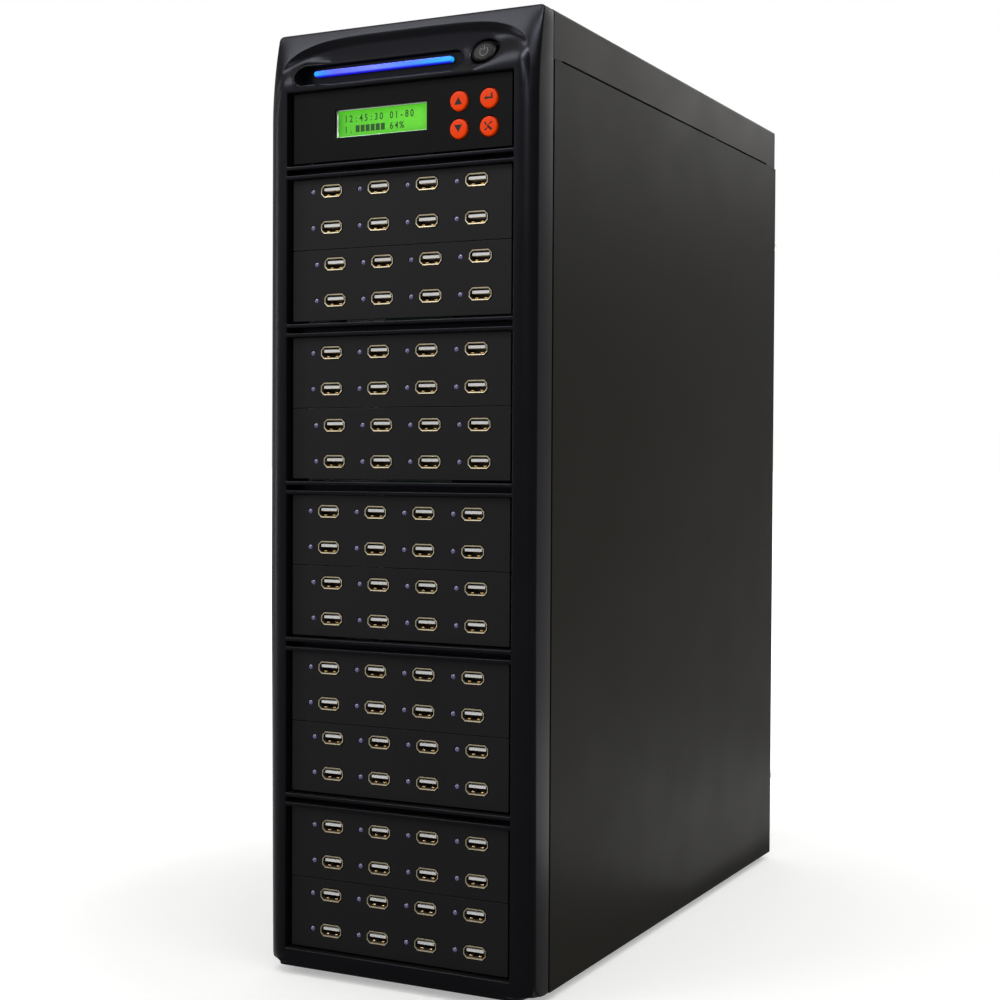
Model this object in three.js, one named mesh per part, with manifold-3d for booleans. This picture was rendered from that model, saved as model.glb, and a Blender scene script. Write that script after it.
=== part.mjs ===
// Tower duplicator for flash drives: a steel case with a moulded front bezel, ten bay panels
// of eight sockets, a control panel with a display and four keys, and a power supply and two
// fans at the back. Millimetres, +Z up, front towards -Y. While the pieces are made, Y = 0 is
// the plane where the bezel meets the case, and Z = 0 is the floor.
import * as THREE from 'three';
import { mergeVertices } from 'three/addons/utils/BufferGeometryUtils.js';
import Module from 'manifold-3d';

const wasm = await Module();
wasm.setup();

// Driving sizes of the case
const caseDepth = 406;
const sheet = 1;
const footHeight = 5;
const fit = 0.3;
const overrun = 4;

// Bays: five pairs of strips with a divider above each pair, then the control panel's bay
const chinHeight = 10.8;
const stripPitch = 42.3;
const dividerHeight = 7.9;
const bayGap = 1.3;
const crownHeight = 37.6;
const pairCount = 5;
const stripsInPair = 2;
const openingWidth = 151;
const stileWidth = 13.5;
const panelSideGap = 2.5;
const panelFace = 20.7;

const halfOpening = openingWidth / 2;
const halfPanel = halfOpening - panelSideGap;
const halfCase = halfOpening + stileWidth;
const pairHeight = stripsInPair * stripPitch + bayGap;
const pairPitch = pairHeight + dividerHeight;
const caseBottom = footHeight;
const controlBottom = caseBottom + chinHeight + pairCount * pairPitch;
const controlTop = controlBottom + bayGap + stripPitch;
const caseTop = controlTop + crownHeight;
const controlMiddle = controlTop - stripPitch / 2;
// Materials, by what the pieces are made of
const finish = (color, roughness, metalness) =>
  new THREE.MeshStandardMaterial({ color, roughness, metalness });
const powderCoat = finish(0x35322f, 0.5, 0.1);
const bareSteel = finish(0x9a9c9e, 0.4, 0.9);
const mouldedBlack = finish(0x15161a, 0.3, 0);
const panelBlack = finish(0x17161a, 0.55, 0.1);
const socketSteel = finish(0xb9b09c, 0.3, 0.9);
const circuitGreen = finish(0x1e5a34, 0.5, 0);
const keyOrange = finish(0xff4a08, 0.4, 0);
const lightBlue = finish(0x2a7bff, 0.3, 0);
const fanBlack = finish(0x141414, 0.5, 0);
const brightWire = finish(0xc8cacc, 0.2, 1);
const softRubber = finish(0x101010, 0.9, 0);
const nickel = finish(0xa8a8a6, 0.3, 1);

const group = new THREE.Group();

// A three.js geometry as a solid that can be joined and cut.
function solidOf(geometry) {
  const bare = geometry.index ? geometry.toNonIndexed() : geometry.clone();
  bare.deleteAttribute('normal');
  bare.deleteAttribute('uv');
  const merged = mergeVertices(bare);
  return new wasm.Manifold(new wasm.Mesh({
    numProp: 3,
    vertProperties: merged.attributes.position.array,
    triVerts: new Uint32Array(merged.index.array),
  }));
}

// Adds a solid to the model as a named mesh.
function add(name, solid, material) {
  const mesh = solid.getMesh();
  const stride = mesh.numProp;
  const places = new Float32Array(mesh.numVert * 3);
  for (let i = 0; i < mesh.numVert; i += 1) {
    places.set(mesh.vertProperties.subarray(i * stride, i * stride + 3), i * 3);
  }
  const geometry = new THREE.BufferGeometry();
  geometry.setAttribute('position', new THREE.BufferAttribute(places, 3));
  geometry.setIndex(new THREE.BufferAttribute(new Uint32Array(mesh.triVerts), 1));
  geometry.computeVertexNormals();
  const piece = new THREE.Mesh(geometry, material);
  piece.name = name;
  group.add(piece);
}

// A block between two corners, given as low and high on each axis.
function block(lowX, highX, lowY, highY, lowZ, highZ) {
  const box = new THREE.BoxGeometry(highX - lowX, highY - lowY, highZ - lowZ);
  box.translate((lowX + highX) / 2, (lowY + highY) / 2, (lowZ + highZ) / 2);
  return solidOf(box);
}

// A round rod along Y.
function rod(x, z, radius, lowY, highY, sides) {
  const round = new THREE.CylinderGeometry(radius, radius, highY - lowY, sides);
  round.translate(x, (lowY + highY) / 2, z);
  return solidOf(round);
}

// An outline in X and Z, pushed along Y.
function alongY(outline, lowY, highY, curveSegments = 6) {
  const shape = outline instanceof THREE.Shape ? outline : new THREE.Shape(outline);
  const depth = highY - lowY;
  const body = new THREE.ExtrudeGeometry(shape, { depth, bevelEnabled: false, curveSegments });
  body.rotateX(Math.PI / 2);
  body.translate(0, highY, 0);
  return solidOf(body);
}

// An outline in X and Y, pushed along Z.
function alongZ(points, lowZ, highZ) {
  const shape = new THREE.Shape(points);
  const body = new THREE.ExtrudeGeometry(shape, { depth: highZ - lowZ, bevelEnabled: false });
  body.translate(0, 0, lowZ);
  return solidOf(body);
}

const at = (x, z) => new THREE.Vector2(x, z);
const join = (solids) => solids.reduce((whole, next) => whole.add(next));
const mirrored = (solid) => solid.mirror([1, 0, 0]);

// A rectangle with round corners, in X and Z.
function roundedOutline(lowX, highX, lowZ, highZ, radius) {
  const shape = new THREE.Shape();
  shape.moveTo(lowX + radius, lowZ);
  shape.lineTo(highX - radius, lowZ);
  shape.absarc(highX - radius, lowZ + radius, radius, -Math.PI / 2, 0);
  shape.lineTo(highX, highZ - radius);
  shape.absarc(highX - radius, highZ - radius, radius, 0, Math.PI / 2);
  shape.lineTo(lowX + radius, highZ);
  shape.absarc(lowX + radius, highZ - radius, radius, Math.PI / 2, Math.PI);
  shape.lineTo(lowX, lowZ + radius);
  shape.absarc(lowX + radius, lowZ + radius, radius, Math.PI, 1.5 * Math.PI);
  return shape;
}

// Steel case: base pan, front plate, rear panel, cage rails, top cover and side panels
const panFlange = 14;
const skirtHeight = 28;
const coverInset = 0.5;
const coverBend = 2;
const seamGap = 0.5;
const seamWidening = 1;
const seamFront = 12;
const seamEnd = 21;
const bezelGap = 1.2;
const coverShortfall = 1.2;
const rearFlange = 12;
const panelRearFlange = 14;
const panelTopFlange = 8;
const panelTopFlangeEnd = 35;

const innerHalf = halfCase - sheet - fit;
const plateHalf = innerHalf - sheet - fit;
const floorTop = caseBottom + sheet;
const plateBottom = floorTop + fit;
const plateTop = caseTop - sheet - fit;
const rearFace = caseDepth - sheet - fit;
const rearInside = rearFace - sheet;
const panelTop = caseTop - skirtHeight - seamGap;
const frontPlateBack = fit + sheet;

function basePan() {
  return alongY([
    at(-innerHalf, caseBottom), at(innerHalf, caseBottom),
    at(innerHalf, caseBottom + panFlange), at(innerHalf - sheet, caseBottom + panFlange),
    at(innerHalf - sheet, floorTop), at(sheet - innerHalf, floorTop),
    at(sheet - innerHalf, caseBottom + panFlange), at(-innerHalf, caseBottom + panFlange),
  ], fit, rearFace);
}

// The side rails of the cage, which the bay modules are screwed to.
const railGauge = 1.2;
const railDepth = 150;
const railFlange = 12;
const railTop = controlTop;
const railInside = halfPanel + fit;

function cageRail() {
  const front = frontPlateBack + fit;
  return alongZ([
    at(railInside, front), at(railInside + railFlange, front),
    at(railInside + railFlange, front + railGauge), at(railInside + railGauge, front + railGauge),
    at(railInside + railGauge, railDepth), at(railInside, railDepth),
  ], plateBottom, railTop);
}

// The front plate has one tall window for the bays, with a round pass for the crown's wires.
const windowMargin = 1.3;
const windowLift = 10;
const wirePassRadius = 5;
const wirePassSides = 16;

function frontPlate() {
  const halfWindow = railInside + windowMargin;
  const window = block(-halfWindow, halfWindow, fit - overrun, frontPlateBack + overrun,
    caseBottom + windowLift, controlTop + windowMargin);
  const wirePass = rod(-halfCase / 2, (controlTop + caseTop) / 2, wirePassRadius,
    fit - overrun, frontPlateBack + overrun, wirePassSides);
  return block(-plateHalf, plateHalf, fit, frontPlateBack, plateBottom, plateTop)
    .subtract(window).subtract(wirePass);
}

function topCover() {
  const half = halfCase - coverInset;
  const low = caseTop - skirtHeight;
  const outline = new THREE.Shape();
  outline.moveTo(-half, low);
  outline.lineTo(sheet - half, low);
  outline.lineTo(sheet - half, caseTop - sheet);
  outline.lineTo(half - sheet, caseTop - sheet);
  outline.lineTo(half - sheet, low);
  outline.lineTo(half, low);
  outline.lineTo(half, caseTop - coverBend);
  outline.absarc(half - coverBend, caseTop - coverBend, coverBend, 0, Math.PI / 2);
  outline.lineTo(coverBend - half, caseTop);
  outline.absarc(coverBend - half, caseTop - coverBend, coverBend, Math.PI / 2, Math.PI);
  const slot = block(-halfCase - overrun, halfCase + overrun, seamFront, caseDepth - seamEnd,
    low - overrun, low + seamWidening);
  return alongY(outline, bezelGap, caseDepth - coverShortfall).subtract(slot);
}

// A side panel is a flat sheet with a flange along its top and one across its back, which
// lies behind the rear panel and takes two thumbscrews.
const screwInset = 7;
const screwHoleRadius = 2.1;
const holeSides = 8;
const screwMargin = 60;
const screwHeights = [caseBottom + screwMargin, panelTop - screwMargin];

function sidePanel() {
  const wall = block(halfCase - sheet, halfCase, bezelGap, caseDepth, caseBottom, panelTop);
  const top = block(halfCase - panelTopFlange, halfCase, seamFront,
    caseDepth - panelTopFlangeEnd, panelTop - sheet, panelTop);
  const back = block(halfCase - panelRearFlange, halfCase, caseDepth - sheet, caseDepth,
    caseBottom, panelTop);
  const holes = screwHeights.map((z) => rod(halfCase - screwInset, z, screwHoleRadius,
    caseDepth - overrun, caseDepth + overrun, holeSides));
  return join([wall, top, back]).subtract(join(holes));
}

// Power supply at the foot of the case, and the two case fans above it
const supplySideGap = 12.7;
const supplyHeight = 86;
const supplyDepth = 140;
const supplyWall = 1.2;
const supplyFanInset = 47;
const fanSize = 80;
const fanDepth = 25;
const fanBore = 38;
const fanLift = 48;
const fanPitch = 110;
const boltSpacing = 71.5;
const ventSlotWidth = 60;
const ventSlotHeight = 4;
const ventSlotPitch = 12;
const ventRows = 9;
const ventLift = 30;
const supplyWindowMargin = 6;

const supplyWidth = 2 * (innerHalf - supplySideGap);
const supplyFanX = supplyFanInset - supplyWidth / 2;
const supplyBottom = floorTop + fit;
const supplyTop = supplyBottom + supplyHeight;
const supplyMiddle = (supplyBottom + supplyTop) / 2;
const supplyBack = rearInside - fit;
const supplyFront = supplyBack - supplyDepth;
const lowerFan = supplyTop + fanLift + fanSize / 2;
const fanHeights = [lowerFan, lowerFan + fanPitch];
const ventBottom = lowerFan + fanPitch + fanSize / 2 + ventLift;

function boltHoles(x, z, lowY, highY) {
  const corners = [[-1, -1], [1, -1], [1, 1], [-1, 1]];
  return join(corners.map(([i, k]) => rod(x + i * boltSpacing / 2, z + k * boltSpacing / 2,
    screwHoleRadius, lowY, highY, holeSides)));
}

function rearPanel() {
  const flanged = alongZ([
    at(-plateHalf, rearFace), at(-plateHalf, rearFace - rearFlange),
    at(sheet - plateHalf, rearFace - rearFlange), at(sheet - plateHalf, rearInside),
    at(plateHalf - sheet, rearInside), at(plateHalf - sheet, rearFace - rearFlange),
    at(plateHalf, rearFace - rearFlange), at(plateHalf, rearFace),
  ].reverse(), plateBottom, plateTop);
  const low = rearInside - overrun;
  const high = rearFace + overrun;
  const halfWindow = supplyWidth / 2 - supplyWindowMargin;
  const cuts = [block(-halfWindow, halfWindow, low, high,
    supplyBottom + supplyWindowMargin, supplyTop - supplyWindowMargin)];
  for (const z of fanHeights) {
    cuts.push(rod(0, z, fanBore, low, high, fanSides), boltHoles(0, z, low, high));
  }
  for (let row = 0; row < ventRows; row += 1) {
    const z = ventBottom + row * ventSlotPitch;
    cuts.push(block(-ventSlotWidth, -ventSlotHeight / 2, low, high, z, z + ventSlotHeight));
    cuts.push(block(ventSlotHeight / 2, ventSlotWidth, low, high, z, z + ventSlotHeight));
  }
  for (const z of screwHeights) {
    const x = halfCase - screwInset;
    cuts.push(rod(x, z, screwHoleRadius, low, high, holeSides));
    cuts.push(rod(-x, z, screwHoleRadius, low, high, holeSides));
  }
  return flanged.subtract(join(cuts));
}

// Feet: turned rubber discs under the base pan
const footRadius = 9;
const footEdge = 1;
const footSides = 16;
const footInsetX = 24;
const footInsetY = 38;

function foot(x, y) {
  const profile = [
    at(0, 0), at(footRadius - footEdge, 0), at(footRadius, footEdge),
    at(footRadius, footHeight - fit), at(0, footHeight - fit),
  ];
  const turned = new THREE.LatheGeometry(profile, footSides);
  turned.rotateX(Math.PI / 2);
  turned.translate(x, y, 0);
  return solidOf(turned);
}

// Fan: a square frame with a bore, a motor seat on four arms, and a rotor with swept blades
const fanSides = 24;
const motorRadius = 17;
const motorSeatDepth = 3.5;
const armWidth = 4;
const shaftRadius = 2;
const hubDepth = 17;
const bladeCount = 7;
const bladeReach = 36;
const bladeGauge = 1.4;
const bladeTilt = 0.7;
const bladeDepth = 15;
const rotorSides = 16;

function motorSeat(x, z, back) {
  const seat = rod(x, z, motorRadius, back - motorSeatDepth, back, rotorSides);
  const long = fanBore + sheet;
  const across = block(x - long, x + long, back - motorSeatDepth, back,
    z - armWidth / 2, z + armWidth / 2);
  const upright = block(x - armWidth / 2, x + armWidth / 2, back - motorSeatDepth, back,
    z - long, z + long);
  const bore = rod(x, z, shaftRadius + fit, back - motorSeatDepth - overrun, back + overrun,
    holeSides);
  return join([seat, across, upright]).subtract(bore);
}

function fanFrame(z) {
  const half = fanSize / 2;
  const front = supplyBack - fanDepth;
  const corner = 3;
  const shell = alongY(roundedOutline(-half, half, z - half, z + half, corner),
    front, supplyBack, 2);
  const bore = rod(0, z, fanBore, front - overrun, supplyBack + overrun, fanSides);
  const holes = boltHoles(0, z, front - overrun, supplyBack + overrun);
  return shell.subtract(bore).add(motorSeat(0, z, supplyBack)).subtract(holes);
}

function fanRotor(x, z, back) {
  const seatFront = back - motorSeatDepth - fit;
  const hubFront = seatFront - hubDepth;
  const hub = rod(x, z, motorRadius, hubFront, seatFront, rotorSides);
  const shaft = rod(x, z, shaftRadius, hubFront, back - fit, holeSides);
  const blades = [];
  for (let i = 0; i < bladeCount; i += 1) {
    const reach = bladeReach - motorRadius + sheet;
    const blade = new THREE.BoxGeometry(bladeGauge, bladeDepth, reach);
    blade.rotateZ(bladeTilt);
    blade.translate(0, 0, motorRadius - sheet + reach / 2);
    blade.rotateY(i * 2 * Math.PI / bladeCount);
    blade.translate(x, (hubFront + seatFront) / 2, z);
    blades.push(solidOf(blade));
  }
  return join([hub, shaft, ...blades]);
}

// Wire guard: rings on two crossed wires, with an eye at each corner for the fan's screws
const wireRadius = 0.9;
const ringRadii = [18, 32];
const ringSides = 16;
const wireSides = 4;
const crossRadius = 1.1;
const crossSides = 6;

function wireRing(x, z, radius, y) {
  const ring = new THREE.TorusGeometry(radius, wireRadius, wireSides, ringSides);
  ring.rotateX(Math.PI / 2);
  ring.translate(x, y, z);
  return solidOf(ring);
}

function fanGuard(z) {
  const y = rearFace + fit + crossRadius;
  const reach = boltSpacing / Math.SQRT2;
  const wires = [-1, 1].map((side) => {
    const wire = new THREE.CylinderGeometry(crossRadius, crossRadius, 2 * reach, crossSides);
    wire.rotateZ(side * Math.PI / 4);
    wire.rotateX(Math.PI / 2);
    wire.translate(0, y, z);
    return solidOf(wire);
  });
  return join([...ringRadii.map((radius) => wireRing(0, z, radius, y)), ...wires]);
}

// Power supply: a folded steel box with a fan bore, an inlet pocket and a rocker's frame
const inletInset = 31;
const inletX = supplyWidth / 2 - inletInset;
const inletZ = supplyMiddle + 20;
const inletWidth = 28;
const inletHeight = 20.5;
const rockerZ = supplyMiddle - 18;
const rockerWidth = 12;
const rockerHeight = 19;
const rockerFrame = 2;
const rockerDepth = 9;

function supplyCase() {
  const half = supplyWidth / 2;
  const shell = block(-half, half, supplyFront, supplyBack, supplyBottom, supplyTop);
  const hollow = block(supplyWall - half, half - supplyWall, supplyFront + supplyWall,
    supplyBack - supplyWall, supplyBottom + supplyWall, supplyTop - supplyWall);
  const bore = rod(supplyFanX, supplyMiddle, fanBore, supplyBack - supplyWall - overrun,
    supplyBack + overrun, fanSides);
  const seat = motorSeat(supplyFanX, supplyMiddle, supplyBack);
  const frameHalf = rockerWidth / 2 + rockerFrame;
  const frameTall = rockerHeight / 2 + rockerFrame;
  const rockerShell = block(inletX - frameHalf, inletX + frameHalf,
    supplyBack - rockerDepth - fit - rockerFrame, supplyBack, rockerZ - frameTall,
    rockerZ + frameTall);
  const rockerWell = block(inletX - rockerWidth / 2, inletX + rockerWidth / 2,
    supplyBack - rockerDepth - fit, supplyBack + overrun, rockerZ - rockerHeight / 2,
    rockerZ + rockerHeight / 2);
  const inletHole = block(inletX - inletWidth / 2, inletX + inletWidth / 2,
    supplyBack - supplyWall - overrun, supplyBack + overrun, inletZ - inletHeight / 2,
    inletZ + inletHeight / 2);
  const lead = rod(0, supplyMiddle, leadRadius + leadPass, supplyFront - overrun,
    supplyFront + supplyWall + overrun, 2 * leadSides);
  return shell.subtract(hollow).subtract(bore).add(seat).add(rockerShell)
    .subtract(rockerWell).subtract(inletHole).subtract(lead);
}

// Mains inlet: a moulded socket with a flange and three pins
const inletDepth = 18;
const inletFlange = 2;
const inletFlangeReach = 2.5;
const inletWall = 1.8;
const pinWide = 4;
const pinThick = 2;
const pinSpread = 7;
const pinStep = 4;
const pinShort = 5;

function mainsInlet() {
  const halfWide = inletWidth / 2 - fit;
  const halfTall = inletHeight / 2 - fit;
  const back = supplyBack + fit;
  const body = block(inletX - halfWide, inletX + halfWide, back - inletDepth, back + inletFlange,
    inletZ - halfTall, inletZ + halfTall);
  const flange = block(inletX - halfWide - inletFlangeReach, inletX + halfWide + inletFlangeReach,
    back, back + inletFlange, inletZ - halfTall - inletFlangeReach,
    inletZ + halfTall + inletFlangeReach);
  const cavity = block(inletX - halfWide + inletWall, inletX + halfWide - inletWall,
    back - inletDepth + inletWall, back + inletFlange + overrun,
    inletZ - halfTall + inletWall, inletZ + halfTall - inletWall);
  const pin = (x, z) => block(inletX + x - pinThick / 2, inletX + x + pinThick / 2,
    back - inletDepth, back + inletFlange - pinShort, inletZ + z - pinWide / 2,
    inletZ + z + pinWide / 2);
  return join([body, flange]).subtract(cavity)
    .add(join([pin(-pinSpread, -pinStep / 2), pin(pinSpread, -pinStep / 2), pin(0, pinStep / 2)]));
}

// The rocker turns on a pivot across its middle. Its face has two flats, and at rest the
// lower one is pressed in.
const rockerSwing = 12;
const rockerProud = 2.5;
const rockerPivotDepth = 3;
const rockerTuck = 6;

function rocker() {
  const halfTall = rockerHeight / 2 - fit - fit;
  const pivot = supplyBack - rockerPivotDepth;
  const swing = THREE.MathUtils.degToRad(rockerSwing / 2);
  const lift = Math.tan(swing) * halfTall;
  const outline = new THREE.Shape([
    at(-halfTall, rockerProud + lift), at(0, rockerProud), at(halfTall, rockerProud + lift),
    at(halfTall - rockerFrame, -rockerTuck / 2), at(rockerFrame - halfTall, -rockerTuck / 2),
  ]);
  const width = rockerWidth - 2 * fit;
  const body = new THREE.ExtrudeGeometry(outline, { depth: width, bevelEnabled: false });
  const basis = new THREE.Matrix4().makeBasis(new THREE.Vector3(0, 0, 1),
    new THREE.Vector3(0, 1, 0), new THREE.Vector3(-1, 0, 0));
  body.applyMatrix4(basis);
  body.translate(width / 2, 0, 0);
  body.rotateX(-swing);
  body.translate(inletX, pivot, rockerZ);
  return solidOf(body);
}

// Thumbscrews that hold the side panels
const thumbRadius = 6;
const thumbDepth = 8;
const thumbSides = 12;
const thumbShank = 8;
const shankRadius = 1.8;

function thumbscrew(x, z) {
  const seat = caseDepth + fit;
  return rod(x, z, thumbRadius, seat, seat + thumbDepth, thumbSides)
    .add(rod(x, z, shankRadius, seat - thumbShank, seat + thumbDepth / 2, holeSides));
}

// Front bezel. Its face is a height over the case's front plane, written as a formula
const bezelLip = 24.1;
const bezelEdge = 20.2;
const bezelCrest = 12;
const edgeLean = 2;
const bezelWall = 2.5;
const openingWall = 2.2;
const stilePower = 1.7;
const sweepHeight = 56;
const edgeRound = 1;
const bezelCorner = 3;
const chinSweep = 5;
const chinDrop = 4;
const chinRise = 2;
const chinRoot = 4;
const grooveLip = 2.3;
const grooveDepth = 10;
const scoopLift = 1.5;
const scoopPower = 2.2;
const scoopDepth = 11.5;
const archMargin = 4.5;
const archDrop = 10.4;
const archRise = 42.8;
const archPower = 4;

const sweepStart = caseTop - sweepHeight;
const scoopStart = controlTop + scoopLift;
const archHalf = halfCase - archMargin;
const archFoot = controlTop - archDrop;
const clamp = THREE.MathUtils.clamp;

// How far the stile's face stands forward at x and z, from the lip back to the outer edge. The
// outer edge leans back a little towards the crown.
function stileFace(x, z) {
  const across = clamp((Math.abs(x) - halfOpening) / (halfCase - halfOpening), 0, 1);
  const up = clamp((z - caseBottom) / (controlBottom - caseBottom), 0, 1);
  const edge = bezelEdge - edgeLean * up;
  return bezelLip - (bezelLip - edge) * across ** stilePower;
}

// The outer face, with its sweep back at the crest. The chin rolls under, and its underside
// rises a little from the case to the front.
function outerFace(x, z) {
  const face = stileFace(x, z);
  const sweep = clamp((z - sweepStart) / (caseTop - sweepStart), 0, 1);
  const roll = clamp((caseBottom + chinSweep - z) / chinSweep, 0, 1);
  const swept = face + (bezelCrest - face) * sweep ** 2 - chinDrop * roll ** 2;
  const atEdge = halfCase - Math.abs(x) < edgeRound / 2;
  const underside = chinRoot + bezelLip * (z - caseBottom) / chinRise;
  return Math.min(atEdge ? swept - edgeRound : swept, underside);
}

// The scooped face inside the crown's arch.
function scoopFace(x, z) {
  const face = stileFace(x, z);
  const crest = archFoot + archRise;
  const up = clamp((z - scoopStart) / (crest - scoopStart), 0, 1);
  return face - (face - scoopDepth) * (1 - (1 - up) ** scoopPower);
}

// A closed solid between two surfaces over a grid. Each column of the grid has its own span in
// Z, and near and far give the Y of the two surfaces.
function gridSolid(columns, steps, zAt, near, far) {
  const places = [];
  for (const surface of [near, far]) {
    for (const x of columns) {
      for (let j = 0; j <= steps; j += 1) {
        const z = zAt(x, j);
        places.push(x, surface(x, z), z);
      }
    }
  }
  const rows = steps + 1;
  const layer = columns.length * rows;
  const faces = [];
  const quad = (a, b, c, d) => faces.push(a, b, c, a, c, d);
  for (let i = 0; i + 1 < columns.length; i += 1) {
    for (let j = 0; j < steps; j += 1) {
      const a = i * rows + j;
      quad(a, a + rows, a + rows + 1, a + 1);
      quad(layer + a, layer + a + 1, layer + a + rows + 1, layer + a + rows);
    }
    const low = i * rows;
    const high = low + steps;
    quad(low, layer + low, layer + low + rows, low + rows);
    quad(high, high + rows, layer + high + rows, layer + high);
  }
  const last = (columns.length - 1) * rows;
  for (let j = 0; j < steps; j += 1) {
    quad(j, j + 1, layer + j + 1, layer + j);
    quad(last + j, layer + last + j, layer + last + j + 1, last + j + 1);
  }
  const geometry = new THREE.BufferGeometry();
  geometry.setAttribute('position', new THREE.Float32BufferAttribute(places, 3));
  geometry.setIndex(faces);
  return solidOf(geometry);
}

// The grid's lines: close together where the face curves, and far apart where it is straight.
const stileShares = [0, 0.25, 0.5, 0.7, 0.88];
const middleShares = [0, 0.35, 0.7];
const crestShares = [0, 0.2, 0.38, 0.54, 0.68, 0.8, 0.9, 1];
const chinShares = [0, 0.4, 0.6, 0.8, 1];
const leanShares = [0.25, 0.5, 0.75, 1];

function bezelColumns(inset) {
  const right = [
    ...middleShares.map((share) => share * halfOpening),
    ...stileShares.map((share) => halfOpening + share * (halfCase - halfOpening)),
  ].filter((x) => x < halfCase - inset - edgeRound / 2);
  if (inset === 0) right.push(halfCase - edgeRound / 2);
  right.push(halfCase - inset);
  return [...right.slice(1).map((x) => -x).reverse(), ...right];
}

function bezelHeights(inset) {
  const foot = caseBottom + inset + (inset > 0 ? chinRise : 0);
  const low = chinShares.map((share) => caseBottom + share * chinSweep);
  const lean = leanShares.map((share) => caseBottom + share * (controlBottom - caseBottom));
  const high = crestShares.map((share) => sweepStart + share * (caseTop - sweepStart));
  const inside = [...low, ...lean, ...high]
    .filter((z) => z > foot && z < caseTop - inset);
  return [foot, ...inside, caseTop - inset];
}

function bezelBody(inset) {
  const heights = bezelHeights(inset);
  const clearOf = inset > 0 ? overrun : 0;
  return gridSolid(bezelColumns(inset), heights.length - 1, (x, j) => heights[j],
    (x, z) => inset - outerFace(x, z), () => clearOf);
}

// The volume in front of the scooped face, inside the arch. It is grown by spread for the
// hollow behind the crown, so that the step at the arch keeps its wall.
const scoopColumns = 18;
const scoopRows = 6;
const scoopRowPower = 0.8;

function scoopCutter(spread) {
  const half = archHalf + spread;
  const columns = [];
  for (let i = 0; i <= scoopColumns; i += 1) {
    columns.push(-half * Math.cos(Math.PI * i / scoopColumns));
  }
  const top = (x) => archFoot
    + (archRise + spread) * Math.max(0, 1 - Math.abs(x / half) ** archPower) ** (1 / archPower);
  const low = archFoot - overrun;
  const zAt = (x, j) => low + (top(x) - low) * (j / scoopRows) ** scoopRowPower;
  return gridSolid(columns, scoopRows, zAt, () => -2 * bezelLip,
    (x, z) => spread - scoopFace(x, z));
}

// Each window through the bezel, as its lowest and highest Z.
function windows() {
  const found = [];
  for (let pair = 0; pair < pairCount; pair += 1) {
    const low = caseBottom + chinHeight + pair * pairPitch;
    found.push([low, low + pairHeight]);
  }
  found.push([controlBottom, controlTop]);
  return found;
}

// Light slot and power button in the crown
const slotInset = 4;
const slotLength = 111;
const slotLift = 3.6;
const slotHeight = 13;
const slotFloor = 13.4;
const barLength = 94;
const barHeight = 3.6;
const barLift = 8.6;
const barProud = 1;
const barFoot = 2;
const buttonInset = 22;
const buttonLift = 13.1;
const buttonHoleWidth = 19.5;
const buttonHoleHeight = 15.2;
const buttonWidth = 15;
const buttonHeight = 11.8;
const ellipseSides = 24;
const stadiumRoundShare = 0.4995;

const slotLeft = slotInset - halfOpening;
const slotRight = slotLeft + slotLength;
const slotBottom = controlTop + slotLift;
const slotTop = slotBottom + slotHeight;
const barX = (slotLeft + slotRight) / 2;
const barZ = slotBottom + barLift;
const buttonX = halfOpening - buttonInset;
const buttonZ = controlTop + buttonLift;

function stadium(left, right, low, high) {
  return roundedOutline(left, right, low, high, stadiumRoundShare * (high - low));
}

function ellipse(x, z, width, height, lowY, highY) {
  const round = new THREE.CylinderGeometry(1, 1, highY - lowY, ellipseSides);
  round.scale(width / 2, 1, height / 2);
  round.translate(x, (lowY + highY) / 2, z);
  return solidOf(round);
}

function frontBezel() {
  const far = -bezelLip - overrun;
  const outline = roundedOutline(-halfCase, halfCase, caseBottom - bezelCorner, caseTop,
    bezelCorner);
  let hollow = bezelBody(bezelWall).subtract(scoopCutter(bezelWall));
  let body = bezelBody(0).intersect(alongY(outline, far, overrun)).subtract(scoopCutter(0));
  for (const [low, high] of windows()) {
    hollow = hollow.subtract(block(-halfOpening - openingWall, halfOpening + openingWall,
      far, 2 * overrun, low - openingWall, high + openingWall));
    body = body.subtract(block(-halfOpening, halfOpening, far, overrun, low, high));
  }
  for (let pair = 1; pair <= pairCount; pair += 1) {
    const high = caseBottom + chinHeight + pair * pairPitch;
    const low = high - dividerHeight;
    const floor = grooveDepth - bezelLip;
    hollow = hollow.subtract(block(-halfOpening, halfOpening, far, floor + bezelWall, low, high));
    body = body.subtract(block(-halfOpening, halfOpening, far, floor,
      low + grooveLip, high - grooveLip));
  }
  const pocket = stadium(slotLeft, slotRight, slotBottom, slotTop);
  const wide = stadium(slotLeft - bezelWall, slotRight + bezelWall, slotBottom - bezelWall,
    slotTop + bezelWall);
  hollow = hollow.subtract(alongY(wide, far, bezelWall - slotFloor));
  const bar = stadium(barX - barLength / 2 - fit, barX + barLength / 2 + fit,
    barZ - barHeight / 2 - fit, barZ + barHeight / 2 + fit);
  const buttonHole = ellipse(buttonX, buttonZ, buttonHoleWidth, buttonHoleHeight, far, overrun);
  return body.subtract(hollow).subtract(alongY(pocket, far, -slotFloor))
    .subtract(alongY(bar, far, overrun)).subtract(buttonHole);
}

function lightBar() {
  const outline = stadium(barX - barLength / 2, barX + barLength / 2,
    barZ - barHeight / 2, barZ + barHeight / 2);
  return alongY(outline, -slotFloor - barProud, -barFoot);
}

// The power button's stem slides in the switch behind it.
const switchWidth = 16;
const switchDepth = 9;
const stemRadius = 3;
const stemSides = 16;
const stemReach = 4;
const capLow = 20.4;
const capHigh = 16.6;
const capDepth = 7;

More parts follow.
